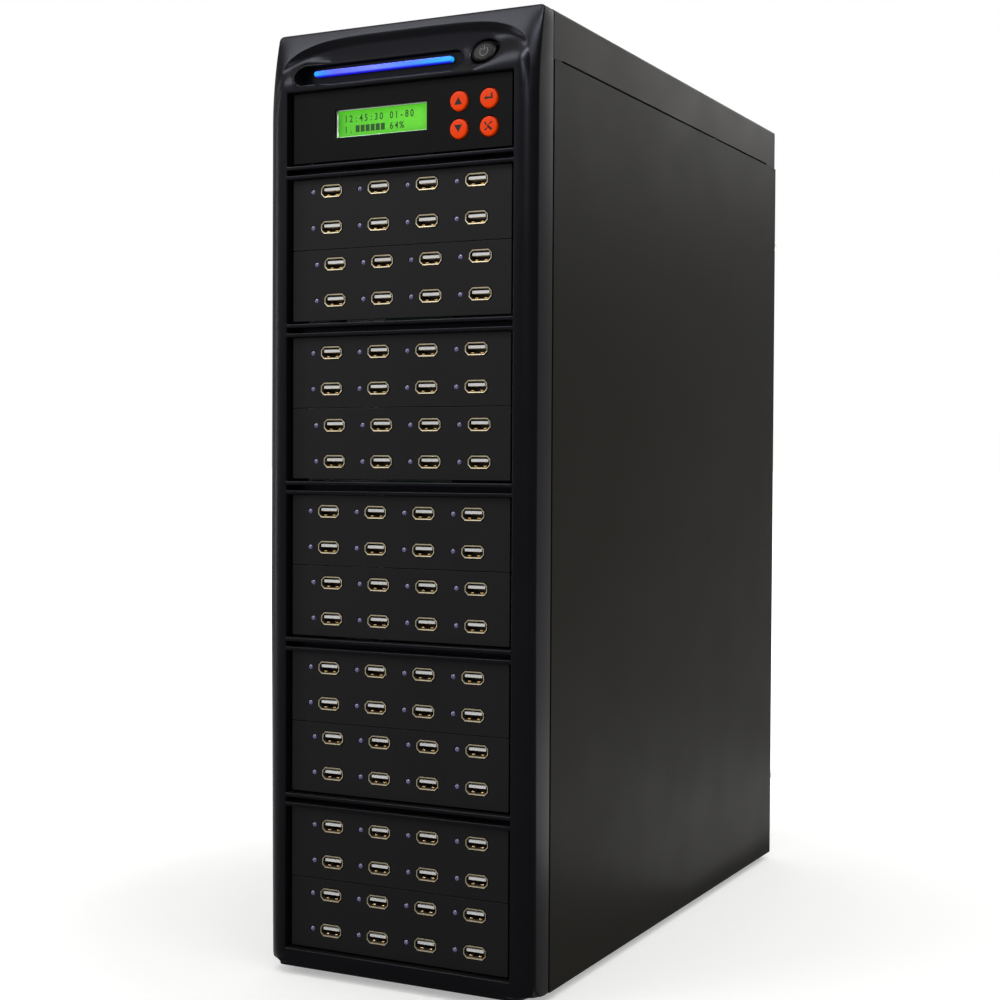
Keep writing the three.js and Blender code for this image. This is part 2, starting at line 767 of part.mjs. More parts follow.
function powerSwitch() {
  const half = switchWidth / 2;
  const bore = rod(buttonX, buttonZ, stemRadius + fit, -switchDepth - overrun, -sheet, stemSides);
  return block(buttonX - half, buttonX + half, -switchDepth, 0, buttonZ - half, buttonZ + half)
    .subtract(bore);
}

function powerButton() {
  const half = buttonHeight / 2;
  const capBack = capDepth - capLow;
  const cap = ellipse(buttonX, buttonZ, buttonWidth, buttonHeight, -capLow - overrun, capBack);
  const front = -capLow - 2 * overrun;
  const side = new THREE.Shape([
    at(front, buttonZ - half - overrun), at(-capLow, buttonZ - half - overrun),
    at(-capLow, buttonZ - half), at(-capHigh, buttonZ + half),
    at(-capHigh, buttonZ + half + overrun), at(front, buttonZ + half + overrun),
  ]);
  const width = buttonWidth + overrun;
  const wedge = new THREE.ExtrudeGeometry(side, { depth: width, bevelEnabled: false });
  wedge.applyMatrix4(new THREE.Matrix4().makeBasis(new THREE.Vector3(0, 1, 0),
    new THREE.Vector3(0, 0, 1), new THREE.Vector3(1, 0, 0)));
  wedge.translate(buttonX - width / 2, 0, 0);
  const stem = rod(buttonX, buttonZ, stemRadius, capBack - sheet, -switchDepth + stemReach,
    stemSides);
  return cap.subtract(solidOf(wedge)).add(stem);
}

// Control panel: a plate with a display window and four key holes
const controlGauge = 2;
const panelGauge = 1.5;
const stripGap = 0.4;
const earGauge = 1.2;
const earBack = 38;
const earHeight = 34;
const displayWidth = 61.8;
const displayX = -12.9;
const displayHeight = 16.4;
const displayLift = 0.95;
const keyRadius = 5.5;
const keyClearance = 0.6;
const keyProud = 1.5;
const keyLeft = 39.4;
const keyPitchX = 19.2;
const keyPitchZ = 15.8;
const keyLift = -1.25;
const keySides = 24;
const keyTravel = 1.5;
const keyFlange = 1.6;
const keyFlangeGauge = 1;
const keyStem = 2;
const keyStemLength = 1.5;

const displayLeft = displayX - displayWidth / 2;
const displayRight = displayX + displayWidth / 2;
const displayZ = controlMiddle + displayLift;
const keyPlaces = {
  up_key: [keyLeft, controlMiddle + keyLift + keyPitchZ / 2 + fit],
  down_key: [keyLeft, controlMiddle + keyLift - keyPitchZ / 2 + fit],
  enter_key: [keyLeft + keyPitchX, controlMiddle + keyLift + keyPitchZ / 2 + fit],
  escape_key: [keyLeft + keyPitchX, controlMiddle + keyLift - keyPitchZ / 2 + fit],
};

// A bay module's plate, with an ear down each side that reaches back between the rails.
function bayPlate(middle, gauge) {
  const half = stripPitch / 2 - stripGap / 2;
  const plate = block(-halfPanel, halfPanel, -panelFace, gauge - panelFace,
    middle - half, middle + half);
  const ear = block(halfPanel - earGauge, halfPanel, -panelFace, earBack,
    middle - earHeight / 2, middle + earHeight / 2);
  return join([plate, ear, mirrored(ear)]);
}

function controlPlate() {
  const low = -panelFace - overrun;
  const high = controlGauge - panelFace + fit;
  const display = block(displayLeft, displayRight, low, high, displayZ - displayHeight / 2,
    displayZ + displayHeight / 2);
  const holes = Object.values(keyPlaces).map(([x, z]) => rod(x, z, keyRadius + keyClearance,
    low, high, keySides));
  return bayPlate(controlMiddle, controlGauge).subtract(display).subtract(join(holes));
}

const displayFrameWidth = 71;
const displayFrameHeight = 24;
const displayFrameDepth = 6;
const displayRecess = 0.8;
const boardGauge = 1.6;
const displayBoardWidth = 80;
const displayBoardHeight = 36;

function displayModule() {
  const front = controlGauge - panelFace + fit;
  const back = front + displayFrameDepth;
  const frame = block(displayX - displayFrameWidth / 2, displayX + displayFrameWidth / 2,
    front, back, displayZ - displayFrameHeight / 2, displayZ + displayFrameHeight / 2);
  const glass = block(displayLeft - fit, displayRight + fit, front - overrun,
    front + displayRecess, displayZ - displayHeight / 2 - fit, displayZ + displayHeight / 2 + fit);
  const board = block(displayX - displayBoardWidth / 2, displayX + displayBoardWidth / 2,
    back, back + boardGauge, displayZ - displayBoardHeight / 2,
    displayZ + displayBoardHeight / 2);
  return frame.subtract(glass).add(board);
}

const keyBoardWidth = 36;
const keyBoardHeight = 36;
const tactWidth = 6;
const tactDepth = 2;
const keyBoardFront = controlGauge - panelFace + fit + keyFlangeGauge + keyStemLength
  + keyTravel + fit + tactDepth;

function keypadBoard() {
  const x = keyLeft + keyPitchX / 2;
  const left = displayX + displayBoardWidth / 2 + fit;
  const right = x + keyBoardWidth / 2;
  const board = block(left, right, keyBoardFront, keyBoardFront + boardGauge,
    controlMiddle - keyBoardHeight / 2, controlMiddle + keyBoardHeight / 2);
  const switches = Object.values(keyPlaces).map(([kx, kz]) => block(kx - tactWidth / 2,
    kx + tactWidth / 2, keyBoardFront - tactDepth, keyBoardFront + sheet, kz - tactWidth / 2,
    kz + tactWidth / 2));
  return board.add(join(switches));
}

function keyCap([x, z]) {
  const plateBack = controlGauge - panelFace;
  const flangeFront = plateBack + fit;
  const flangeBack = flangeFront + keyFlangeGauge;
  return join([
    rod(x, z, keyRadius, -panelFace - keyProud, flangeBack, keySides),
    rod(x, z, keyRadius + keyFlange, flangeFront, flangeBack, keySides / 2),
    rod(x, z, keyStem, flangeFront, flangeBack + keyStemLength, holeSides),
  ]);
}

// Controller board: it lies across the cage under the control panel, its edges at the rails
const controllerFront = 8;
const controllerBack = 140;
const controllerLift = 0.8;
const chipSide = 28;
const chipHeight = 3;
const sinkSide = 34;
const sinkHeight = 12;
const headerWidth = 50;
const headerDepth = 9;
const headerHeight = 9;

function controllerBoard() {
  const low = controlBottom + controllerLift;
  const top = low + boardGauge;
  const middle = (controllerFront + controllerBack) / 2;
  const board = block(-halfPanel, halfPanel, controllerFront, controllerBack, low, top);
  const sink = block(-sinkSide / 2, sinkSide / 2, middle - sinkSide / 2, middle + sinkSide / 2,
    low, top + sinkHeight);
  const chip = block(halfPanel - headerDepth - chipSide, halfPanel - headerDepth,
    middle - chipSide / 2, middle + chipSide / 2, low, top + chipHeight);
  const header = block(-headerWidth / 2, headerWidth / 2, controllerBack - 2 * headerDepth,
    controllerBack - headerDepth, low, top + headerHeight);
  return join([board, sink, chip, header]);
}

// Port strips: a panel with eight socket windows and eight lamp holes, and its board behind
const socketWidth = 14.4;
const socketHeight = 7.9;
const socketReach = 14;
const cavityWidth = 12.5;
const cavityHeight = 5.2;
const cavityDepth = 10;
const tongueWidth = 11.1;
const tongueGauge = 1.84;
const tongueDrop = 0.7;
const tongueReach = 9;
const columnPitch = 32.3;
const columnCount = 4;
const rowPitch = 21.4;
const lampOffset = 13;
const lampRadius = 1.5;
const lampSides = 4;
const rowShares = [0.5, -0.5];
const stripShifts = [2.4, 5, 2.6, 4.8, 1, 3.2, 1.5, 4.3, 4.5, 3.4];
const stripLifts = [2.6, 1.7, 0.8, 0.1, 0.5, 0.3, 1, 1.6, 0.2, 1.2];
const boardWidth = 140;
const boardHeight = 38;
const spacerSide = 5;
const spacerX = 66;
const plugWidth = 16;
const plugHeight = 8;
const busFront = 3.2;
const busWidth = 46;
const socketFace = 0.4;

const boardFront = socketReach - panelFace;
const boardBack = boardFront + boardGauge;

// The middles of a strip's eight sockets. Each strip's sockets sit a little off its middle.
function socketPlaces(index) {
  const middle = stripMiddle(index) + stripLifts[index];
  const places = [];
  for (const row of rowShares) {
    for (let column = 0; column < columnCount; column += 1) {
      places.push([
        stripShifts[index] + (column - (columnCount - 1) / 2) * columnPitch,
        middle + row * rowPitch,
      ]);
    }
  }
  return places;
}

function portPanel(index) {
  const low = -panelFace - overrun;
  const high = panelGauge - panelFace + fit;
  const cuts = socketPlaces(index).flatMap(([x, z]) => [
    block(x - socketWidth / 2 - fit, x + socketWidth / 2 + fit, low, high,
      z - socketHeight / 2 - fit, z + socketHeight / 2 + fit),
    rod(x - lampOffset, z, lampRadius + fit, low, high, lampSides),
  ]);
  return bayPlate(stripMiddle(index), panelGauge).subtract(join(cuts));
}

// A socket: a shell with a cavity and the tongue that carries its contacts.
function socket(x, z) {
  const face = -panelFace - socketFace;
  const shell = block(x - socketWidth / 2, x + socketWidth / 2, face, boardFront + sheet,
    z - socketHeight / 2, z + socketHeight / 2);
  const cavity = block(x - cavityWidth / 2, x + cavityWidth / 2, face - overrun,
    face + cavityDepth, z - cavityHeight / 2, z + cavityHeight / 2);
  const tongueTop = z + cavityHeight / 2 - tongueDrop;
  const tongue = block(x - tongueWidth / 2, x + tongueWidth / 2,
    face + cavityDepth - tongueReach, face + cavityDepth + sheet,
    tongueTop - tongueGauge, tongueTop);
  return shell.subtract(cavity).add(tongue);
}

function portBoard(index) {
  const middle = stripMiddle(index);
  const board = block(-boardWidth / 2, boardWidth / 2, boardFront, boardBack,
    middle - boardHeight / 2, middle + boardHeight / 2);
  const pieces = [board];
  for (const [x, z] of socketPlaces(index)) {
    pieces.push(socket(x, z));
    pieces.push(rod(x - lampOffset, z, lampRadius, -panelFace - socketFace,
      boardFront + sheet, lampSides));
  }
  for (const x of [-spacerX, spacerX]) {
    pieces.push(block(x - spacerSide / 2, x + spacerSide / 2, panelGauge - panelFace + fit,
      boardFront + sheet, middle - spacerSide / 2, middle + spacerSide / 2));
  }
  pieces.push(block(-plugWidth / 2, plugWidth / 2, boardFront + sheet, busFront - fit,
    middle - plugHeight / 2, middle + plugHeight / 2));
  return join(pieces);
}

// The middle of a strip, counted from the top.
function stripMiddle(index) {
  const pair = pairCount - 1 - Math.floor(index / stripsInPair);
  const low = caseBottom + chinHeight + pair * pairPitch;
  const below = stripsInPair - 1 - index % stripsInPair;
  return low + bayGap + below * stripPitch + stripPitch / 2;
}

const stripCount = pairCount * stripsInPair;

function busBoard() {
  const low = stripMiddle(stripCount - 1) - plugHeight;
  const high = stripMiddle(0) + plugHeight;
  return block(-busWidth / 2, busWidth / 2, busFront, busFront + boardGauge, low, high);
}

// The supply's lead runs forward from its box and up to the bus board.
const leadRadius = 4;
const leadSides = 4;
const leadPass = 1;
const leadSteps = 12;
const leadRise = 46;
const leadPathShares = [[0, 0], [0.1, 0], [0.3, -0.3], [0.6, 0], [0.88, 1], [1, 1]];

function powerLead() {
  const start = supplyFront + overrun;
  const span = start - busFront - boardGauge - fit;
  const path = new THREE.CatmullRomCurve3(leadPathShares.map(([along, up]) =>
    new THREE.Vector3(0, start - along * span, supplyMiddle + up * leadRise)));
  const round = new THREE.Shape();
  round.absarc(0, 0, leadRadius, 0, 2 * Math.PI);
  const lead = new THREE.ExtrudeGeometry(round, {
    steps: leadSteps, curveSegments: leadSides, extrudePath: path,
  });
  return solidOf(lead);
}

// Assembly
add('base_pan', basePan(), powderCoat);
add('front_plate', frontPlate(), bareSteel);
add('rear_panel', rearPanel(), powderCoat);
add('cage_rail_right', cageRail(), bareSteel);
add('cage_rail_left', mirrored(cageRail()), bareSteel);
add('top_cover', topCover(), powderCoat);
add('right_side_panel', sidePanel(), powderCoat);
add('left_side_panel', mirrored(sidePanel()), powderCoat);
add('front_bezel', frontBezel(), mouldedBlack);

for (const [side, x] of [['left', footInsetX - halfCase], ['right', halfCase - footInsetX]]) {
  add(`foot_front_${side}`, foot(x, footInsetY), softRubber);
  add(`foot_rear_${side}`, foot(x, caseDepth - footInsetY), softRubber);
}

add('control_plate', controlPlate(), panelBlack);
add('display_module', displayModule(), mouldedBlack);
add('keypad_board', keypadBoard(), circuitGreen);
add('controller_board', controllerBoard(), circuitGreen);
for (const [name, place] of Object.entries(keyPlaces)) add(name, keyCap(place), keyOrange);

add('light_bar', lightBar(), lightBlue);
add('power_button', powerButton(), mouldedBlack);
add('power_switch', powerSwitch(), mouldedBlack);

for (let index = 0; index < stripCount; index += 1) {
  const number = String(index + 1).padStart(2, '0');
  add(`port_panel_${number}`, portPanel(index), panelBlack);
  add(`port_board_${number}`, portBoard(index), socketSteel);
}
add('bus_board', busBoard(), circuitGreen);
add('power_lead', powerLead(), softRubber);

add('supply_case', supplyCase(), bareSteel);
add('supply_fan_rotor', fanRotor(supplyFanX, supplyMiddle, supplyBack), fanBlack);
add('mains_inlet', mainsInlet(), mouldedBlack);
add('rocker', rocker(), mouldedBlack);
fanHeights.forEach((z, index) => {
  const name = index === 0 ? 'lower_fan' : 'upper_fan';
  add(`${name}_frame`, fanFrame(z), fanBlack);
  add(`${name}_rotor`, fanRotor(0, z, supplyBack), fanBlack);
  add(`${name}_guard`, fanGuard(z), brightWire);
});

screwHeights.forEach((z, index) => {
  const name = index === 0 ? 'lower' : 'upper';
  const x = halfCase - screwInset;
  add(`thumbscrew_right_${name}`, thumbscrew(x, z), nickel);
  add(`thumbscrew_left_${name}`, thumbscrew(-x, z), nickel);
});

// The origin goes to the middle of the footprint, on the floor.
const frontMost = -bezelLip;
const backMost = caseDepth + fit + thumbDepth;
group.position.y = -(frontMost + backMost) / 2;

export default group;
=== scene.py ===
# A tower that copies flash drives: a steel case with a moulded front, ten plates of sockets,
# a control panel, and a power supply and two fans at the back.
import math

import bmesh
import bpy
from mathutils import Matrix, Vector, geometry


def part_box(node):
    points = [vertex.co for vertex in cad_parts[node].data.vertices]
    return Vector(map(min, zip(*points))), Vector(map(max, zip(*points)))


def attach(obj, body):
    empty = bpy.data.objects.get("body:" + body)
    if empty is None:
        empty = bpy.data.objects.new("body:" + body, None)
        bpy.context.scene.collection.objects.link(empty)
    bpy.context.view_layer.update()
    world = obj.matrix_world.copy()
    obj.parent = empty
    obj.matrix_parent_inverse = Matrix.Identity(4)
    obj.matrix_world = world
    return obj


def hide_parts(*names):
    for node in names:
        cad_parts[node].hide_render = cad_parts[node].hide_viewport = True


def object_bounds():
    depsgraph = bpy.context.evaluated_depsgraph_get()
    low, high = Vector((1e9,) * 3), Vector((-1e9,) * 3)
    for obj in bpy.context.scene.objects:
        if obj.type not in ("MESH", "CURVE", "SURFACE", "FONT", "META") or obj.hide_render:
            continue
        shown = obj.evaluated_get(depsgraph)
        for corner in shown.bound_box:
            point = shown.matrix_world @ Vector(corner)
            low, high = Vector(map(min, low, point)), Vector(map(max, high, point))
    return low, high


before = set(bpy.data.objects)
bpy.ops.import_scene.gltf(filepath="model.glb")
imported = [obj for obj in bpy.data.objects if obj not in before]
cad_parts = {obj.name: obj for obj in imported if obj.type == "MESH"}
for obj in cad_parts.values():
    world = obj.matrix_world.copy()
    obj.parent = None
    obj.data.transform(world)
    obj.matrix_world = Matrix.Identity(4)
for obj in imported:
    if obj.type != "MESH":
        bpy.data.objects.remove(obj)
cad_low, cad_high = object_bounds()

# Camera, floor and light
# The tower stands on a pale floor in a white room. The camera is level with its middle, to the
# right of its front.
mm = 0.001
camera_place = Vector((503.24, -1077.56, 309.32)) * mm
camera_turn = math.radians(26.871)
camera_dip = math.radians(1.277)
camera_roll = math.radians(0.297)
camera_lens = 61.66

camera = bpy.data.objects.new("camera", bpy.data.cameras.new("camera"))
camera.data.lens = camera_lens
camera.matrix_world = (
    Matrix.Translation(camera_place)
    @ Matrix.Rotation(camera_turn, 4, "Z")
    @ Matrix.Rotation(math.pi / 2 - camera_dip, 4, "X")
    @ Matrix.Rotation(camera_roll, 4, "Z")
)
bpy.context.scene.collection.objects.link(camera)
bpy.context.scene.camera = camera
bpy.context.scene.view_settings.view_transform = "Standard"


def paint(code):
    """A colour for a shader, from its six-figure screen code."""
    parts = [int(code[i:i + 2], 16) / 255 for i in (0, 2, 4)]
    linear = [((c + 0.055) / 1.055) ** 2.4 if c > 0.04045 else c / 12.92 for c in parts]
    return (*linear, 1)


def put(tree, kind, inputs=(), **settings):
    """Adds a node. Each input is a value, or the output of another node."""
    made = tree.nodes.new(kind)
    for key, value in settings.items():
        setattr(made, key, value)
    for key, value in dict(inputs).items():
        if isinstance(value, bpy.types.NodeSocket):
            tree.links.new(value, made.inputs[key])
        else:
            made.inputs[key].default_value = value
    return made


def reckon(tree, operation, *values):
    """The result of some arithmetic on one or two numbers."""
    return put(tree, "ShaderNodeMath", dict(enumerate(values)), operation=operation).outputs[0]


def remap(tree, value, **ends):
    """A number carried from one range to another."""
    named = {label.replace("_", " "): end for label, end in ends.items()}
    return put(tree, "ShaderNodeMapRange", {"Value": value, **named}).outputs[0]


def seen_directly(tree):
    """One for what the camera sees straight, in a gloss or through glass, and zero otherwise."""
    path = put(tree, "ShaderNodeLightPath").outputs
    either = reckon(tree, "MAXIMUM", path["Is Camera Ray"], path["Is Glossy Ray"])
    return reckon(tree, "MAXIMUM", either, path["Is Transmission Ray"])


room_glow = 0.55
room = bpy.data.worlds.new("room")
room.use_nodes = True
bpy.context.scene.world = room
level = remap(room.node_tree, seen_directly(room.node_tree), To_Min=room_glow)
backdrop = room.node_tree.nodes["Background"]
backdrop.inputs["Color"].default_value = paint("ffffff")
room.node_tree.links.new(level, backdrop.inputs["Strength"])

floor_half = 60
floor_lift = 0.36
fade_start = 0.3
fade_end = 1
floor_mesh = bpy.data.meshes.new("floor")
floor_mesh.from_pydata([(-floor_half, -floor_half, 0), (floor_half, -floor_half, 0),
                        (floor_half, floor_half, 0), (-floor_half, floor_half, 0)],
                       [], [(0, 1, 2, 3)])
pale_floor = bpy.data.materials.new("pale floor")
pale_floor.use_nodes = True
floor_shader = pale_floor.node_tree.nodes["Principled BSDF"]
floor_shader.inputs["Base Color"].default_value = paint("ececea")
floor_shader.inputs["Specular IOR Level"].default_value = 0
floor_shader.inputs["Emission Color"].default_value = paint("ffffff")
spot = put(pale_floor.node_tree, "ShaderNodeTexCoord").outputs["Object"]
away = put(pale_floor.node_tree, "ShaderNodeVectorMath", {0: spot}, operation="LENGTH")
fade = remap(pale_floor.node_tree, away.outputs["Value"], From_Min=fade_start,
             From_Max=fade_end, To_Min=floor_lift)
lift = reckon(pale_floor.node_tree, "MULTIPLY", seen_directly(pale_floor.node_tree), fade)
pale_floor.node_tree.links.new(lift, floor_shader.inputs["Emission Strength"])
floor_mesh.materials.append(pale_floor)
floor = bpy.data.objects.new("floor", floor_mesh)
bpy.context.scene.collection.objects.link(floor)


def softbox(name, spot, aim, width, height, power, gloss_only=False):
    """A flat lamp turned towards a point. One for gloss only shows just as a reflection."""
    lamp = bpy.data.lights.new(name, "AREA")
    lamp.shape = "RECTANGLE"
    lamp.size = width
    lamp.size_y = height
    lamp.energy = power
    holder = bpy.data.objects.new(name, lamp)
    holder.location = spot
    holder.rotation_euler = (Vector(aim) - Vector(spot)).to_track_quat("-Z", "Y").to_euler()
    holder.visible_diffuse = not gloss_only
    holder.visible_camera = False
    bpy.context.scene.collection.objects.link(holder)


tower_middle = (cad_low + cad_high) / 2
tower_crown = (0, cad_low.y, cad_high.z)
# Each lamp's place and aim, its width and height in metres, and its power in watts.
room_boxes = {
    "left box": ((-1.5, -1.9, 1.3), tower_middle, 1.1, 1.6, 14),
    "right box": ((1.1, 1.3, 1.7), tower_middle, 0.9, 0.9, 10),
    "top box": ((0.2, -0.4, 2.4), tower_middle, 1.8, 1.8, 14),
}
gloss_boxes = {
    "crown gloss": ((-0.95, -1.35, 2), tower_crown, 0.7, 0.9, 76),
    "corner gloss": ((0.25, -1.35, 1.95), tower_crown, 0.4, 0.4, 90),
    "stile gloss": ((0.45, -1.85, 1.25), tower_crown, 0.25, 0.35, 40),
    "front gloss": ((-0.75, -1.9, 1), tower_crown, 0.6, 0.5, 4),
    "left gloss": ((-1.9, -0.8, 0.4), tower_middle, 0.25, 1.2, 20),
    "right gloss": ((0.5, 1.6, 1.1), tower_middle, 0.4, 0.6, 9),
    "floor gloss": ((0.35, 0.3, 0.01), (0.35, 0.3, 1), 0.5, 0.5, 1.8),
}
for name, box in room_boxes.items():
    softbox(name, *box)
for name, box in gloss_boxes.items():
    softbox(name, *box, gloss_only=True)

# Steel case: pan, rear panel, top cover and two side panels
# Folded sheet steel a millimetre thick, powder coated in a warm charcoal. The cover and pan
# are riveted to the panels at the front and back, and the side panels are screwed on.
grain_size = 0.5 * mm
patch_size = 40 * mm
# Sizes of the paler outer corners, which are partly rubbing and partly a painted highlight.
wear_highlight_width = 0.6 * mm
wear_highlight_scale = 90
wear_highlight_amount = 0.5
flat_turn = 0.97
sharp_turn = 0.75
patch_low = 0.35
patch_high = 0.7
dust_scale = 35
dust_amount = 0.2
rough_drift = 0.15


def group_of(name, inputs, outputs):
    """A new node group, with its numbers in and its numbers out."""
    group = bpy.data.node_groups.new(name, "ShaderNodeTree")
    for label, start in inputs.items():
        socket = group.interface.new_socket(label, in_out="INPUT", socket_type="NodeSocketFloat")
        socket.default_value = start
    for label in outputs:
        group.interface.new_socket(label, in_out="OUTPUT", socket_type="NodeSocketFloat")
    return group, group.nodes.new("NodeGroupInput"), group.nodes.new("NodeGroupOutput")


def noise(tree, scale, detail):
    """A soft random pattern that stays in place on its piece."""
    where = put(tree, "ShaderNodeTexCoord").outputs["Object"]
    return put(tree, "ShaderNodeTexNoise",
               {"Vector": where, "Scale": scale, "Detail": detail}).outputs["Fac"]


def fine_grain():
    """Small bumps, and slow changes of shade that run some way over a surface."""
    group, start, end = group_of("fine grain", {"Size": grain_size, "Patch": patch_size},
                                 ("Bumps", "Mottle"))
    for size, label, detail in (("Size", "Bumps", 3), ("Patch", "Mottle", 4)):
        often = reckon(group, "DIVIDE", 1, start.outputs[size])
        group.links.new(noise(group, often, detail), end.inputs[label])
    return group


def worn_lit_edge():
    """One along the outer corners, broken up by a noise: where handling rubs them, and also a
    painted highlight along them.
    """
    group, start, end = group_of("worn edge", {"Width": wear_highlight_width, "Amount": wear_highlight_amount},
                                 ("Wear and highlight",))
    rounded = put(group, "ShaderNodeBevel", {"Radius": start.outputs["Width"]}, samples=4)
    plain = put(group, "ShaderNodeNewGeometry")
    turn = put(group, "ShaderNodeVectorMath",
               {0: rounded.outputs["Normal"], 1: plain.outputs["Normal"]}, operation="DOT_PRODUCT")
    corner = remap(group, turn.outputs["Value"], From_Min=flat_turn, From_Max=sharp_turn)
    patchy = remap(group, noise(group, wear_highlight_scale, 3), From_Min=patch_low, From_Max=patch_high)
    broken = reckon(group, "MULTIPLY", corner, patchy)
    wear = reckon(group, "MULTIPLY", broken, start.outputs["Amount"])
    group.links.new(wear, end.inputs["Wear and highlight"])
    return group


def settled_dust():
    """Dust on what faces up, in soft patches."""
    group, start, end = group_of("settled dust", {"Amount": dust_amount}, ("Dust",))
    facing = put(group, "ShaderNodeNewGeometry").outputs["Normal"]
    up = put(group, "ShaderNodeSeparateXYZ", {0: facing}).outputs["Z"]
    upward = remap(group, up, From_Min=0.5)
    patchy = reckon(group, "MULTIPLY", upward, noise(group, dust_scale, 6))
    dust = reckon(group, "MULTIPLY", patchy, start.outputs["Amount"])
    group.links.new(dust, end.inputs["Dust"])
    return group


grain_group = fine_grain()
wear_and_highlight_group = worn_lit_edge()
dust_group = settled_dust()
dust_colour = paint("8f8a80")


def blend(tree, amount, below, above):
    """A colour between two others."""
    return put(tree, "ShaderNodeMix", {0: amount, 6: below, 7: above},
               data_type="RGBA").outputs[2]


def finish(name, deep, pale, rough, grain, bump, patch=patch_size, worn=None, wear=0, dust=0,
           **constant):
    """A finish whose colour drifts between two shades, with bumps, dust, and paler outer corners
    that stand for rubbing and for a painted highlight.
    """
    made = bpy.data.materials.new(name)
    made.use_nodes = True
    tree = made.node_tree
    shader = tree.nodes["Principled BSDF"]
    for label, value in constant.items():
        shader.inputs[label.replace("_", " ")].default_value = value
    texture = put(tree, "ShaderNodeGroup", node_tree=grain_group)
    texture.inputs["Size"].default_value = grain
    texture.inputs["Patch"].default_value = patch
    colour = blend(tree, texture.outputs["Mottle"], paint(deep), paint(pale))
    roughness = remap(tree, texture.outputs["Mottle"], To_Min=rough * (1 - rough_drift),
                      To_Max=rough * (1 + rough_drift))
    # Paler outer corners: partly rubbed paint, partly a painted highlight along the edges.
    if wear:
        edge = put(tree, "ShaderNodeGroup", node_tree=wear_and_highlight_group)
        edge.inputs["Amount"].default_value = wear
        colour = blend(tree, edge.outputs["Wear and highlight"], colour, paint(worn))
    if dust:
        settled = put(tree, "ShaderNodeGroup", node_tree=dust_group)
        settled.inputs["Amount"].default_value = dust
        colour = blend(tree, settled.outputs["Dust"], colour, dust_colour)
        roughness = put(tree, "ShaderNodeMath", {0: roughness, 1: settled.outputs["Dust"]},
                        operation="ADD", use_clamp=True).outputs[0]
    relief = put(tree, "ShaderNodeBump", {"Height": texture.outputs["Bumps"], "Distance": bump,
                                          "Strength": 1})
    tree.links.new(colour, shader.inputs["Base Color"])
    tree.links.new(roughness, shader.inputs["Roughness"])
    tree.links.new(relief.outputs["Normal"], shader.inputs["Normal"])
    return made


crease = math.radians(32)


def dress(skin, edge, *nodes):
    """Gives solids their finish, and rounds their edges slightly."""
    for name in nodes:
        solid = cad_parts[name]
        solid.data.materials.clear()
        solid.data.materials.append(skin)
        rounded = solid.modifiers.new("edges", "BEVEL")
        rounded.width = edge
        rounded.segments = 2
        rounded.limit_method = "ANGLE"
        rounded.angle_limit = crease


sheet_edge = 0.25 * mm
coat_grain = 0.55 * mm
coat_bump = 0.05 * mm
powder_coat = finish("powder coat", "191814", "1d1c18", 0.45, coat_grain, coat_bump,
                     worn="4d4a45", wear=0.35, dust=0.12, Specular_IOR_Level=0.01)
cover_coat = finish("cover coat", "1d1b17", "211f1a", 0.45, coat_grain, coat_bump,
                    worn="5d5a53", wear=0.35, dust=0.12, Specular_IOR_Level=0.014)
dress(powder_coat, sheet_edge, "base_pan", "rear_panel", "right_side_panel", "left_side_panel")
dress(cover_coat, sheet_edge, "top_cover")

# Cage: the front plate and two rails that the bay plates are screwed between
# Bare galvanised steel, folded and riveted to the pan and the cover. It is seen only past the
# plates' edges and with a side panel off.
zinc_grain = 0.3 * mm
zinc_bump = 0.01 * mm
zinc_patch = 9 * mm


def bare_metal(name, deep, pale, rough, metallic=1, **more):
    """The finish of bare or plated metal."""
    return finish(name, deep, pale, rough, zinc_grain, zinc_bump, Metallic=metallic, **more)


zinc_steel = bare_metal("zinc steel", "8b8e90", "b4b7b8", 0.38, patch=zinc_patch, dust=0.15)
dress(zinc_steel, sheet_edge, "front_plate", "cage_rail_right", "cage_rail_left")

# Front bezel
# One moulding in satin black plastic: two stiles, a divider above each pair of bays with a
# groove along it, a rolled chin, and a crown that sweeps back round a scooped arch. It clips
# to the front plate.
bezel_low, bezel_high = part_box("front_bezel")
case_front = bezel_high.y
half_case = bezel_high.x
foot = bezel_low.z
crest = bezel_high.z
lip = case_front - bezel_low.y
plate_low, plate_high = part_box("control_plate")
strip_low, strip_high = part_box("port_panel_10")
side_gap = 2.5 * mm
strip_gap = 0.2 * mm
bay_gap = 1.3 * mm
half_opening = strip_high.x + side_gap
control_low = plate_low.z - strip_gap - bay_gap
control_high = plate_high.z + strip_gap
chin_top = strip_low.z - strip_gap - bay_gap
pairs = 5
pair_height = 2 * (plate_high.z - plate_low.z + 2 * strip_gap) + bay_gap
pair_pitch = (control_low - chin_top) / pairs
divider = pair_pitch - pair_height

outer_edge = 20.2 * mm
crest_height = 12 * mm
edge_lean = 0.7 * mm
edge_fall = 3.2 * mm
fall_height = 220 * mm
stile_power = 3
sweep_length = 56 * mm
chin_sweep = 5 * mm
chin_drop = 4 * mm
chin_rise = 3.4 * mm
chin_root = 4 * mm
chin_edge = 0.8 * mm
scoop_lift = 1.5 * mm
scoop_power = 5
scoop_height = 13.2 * mm
scoop_ease = 0.06
scoop_side_ease = 2
side_blend = 30 * mm
arch_margin = 4.5 * mm
arch_drop = 10.4 * mm
arch_rise = 42.8 * mm
arch_power = 4
arch_fillet = 7 * mm
arch_shares = (-0.04, 0.01, 0.08, 0.18, 0.31, 0.46, 0.64, 0.84)

sweep_start = crest - sweep_length
scoop_start = control_high + scoop_lift
arch_half = half_case - arch_margin
arch_foot = control_high - arch_drop


def held(value):
    """A share kept between nought and one."""
    return min(max(value, 0), 1)


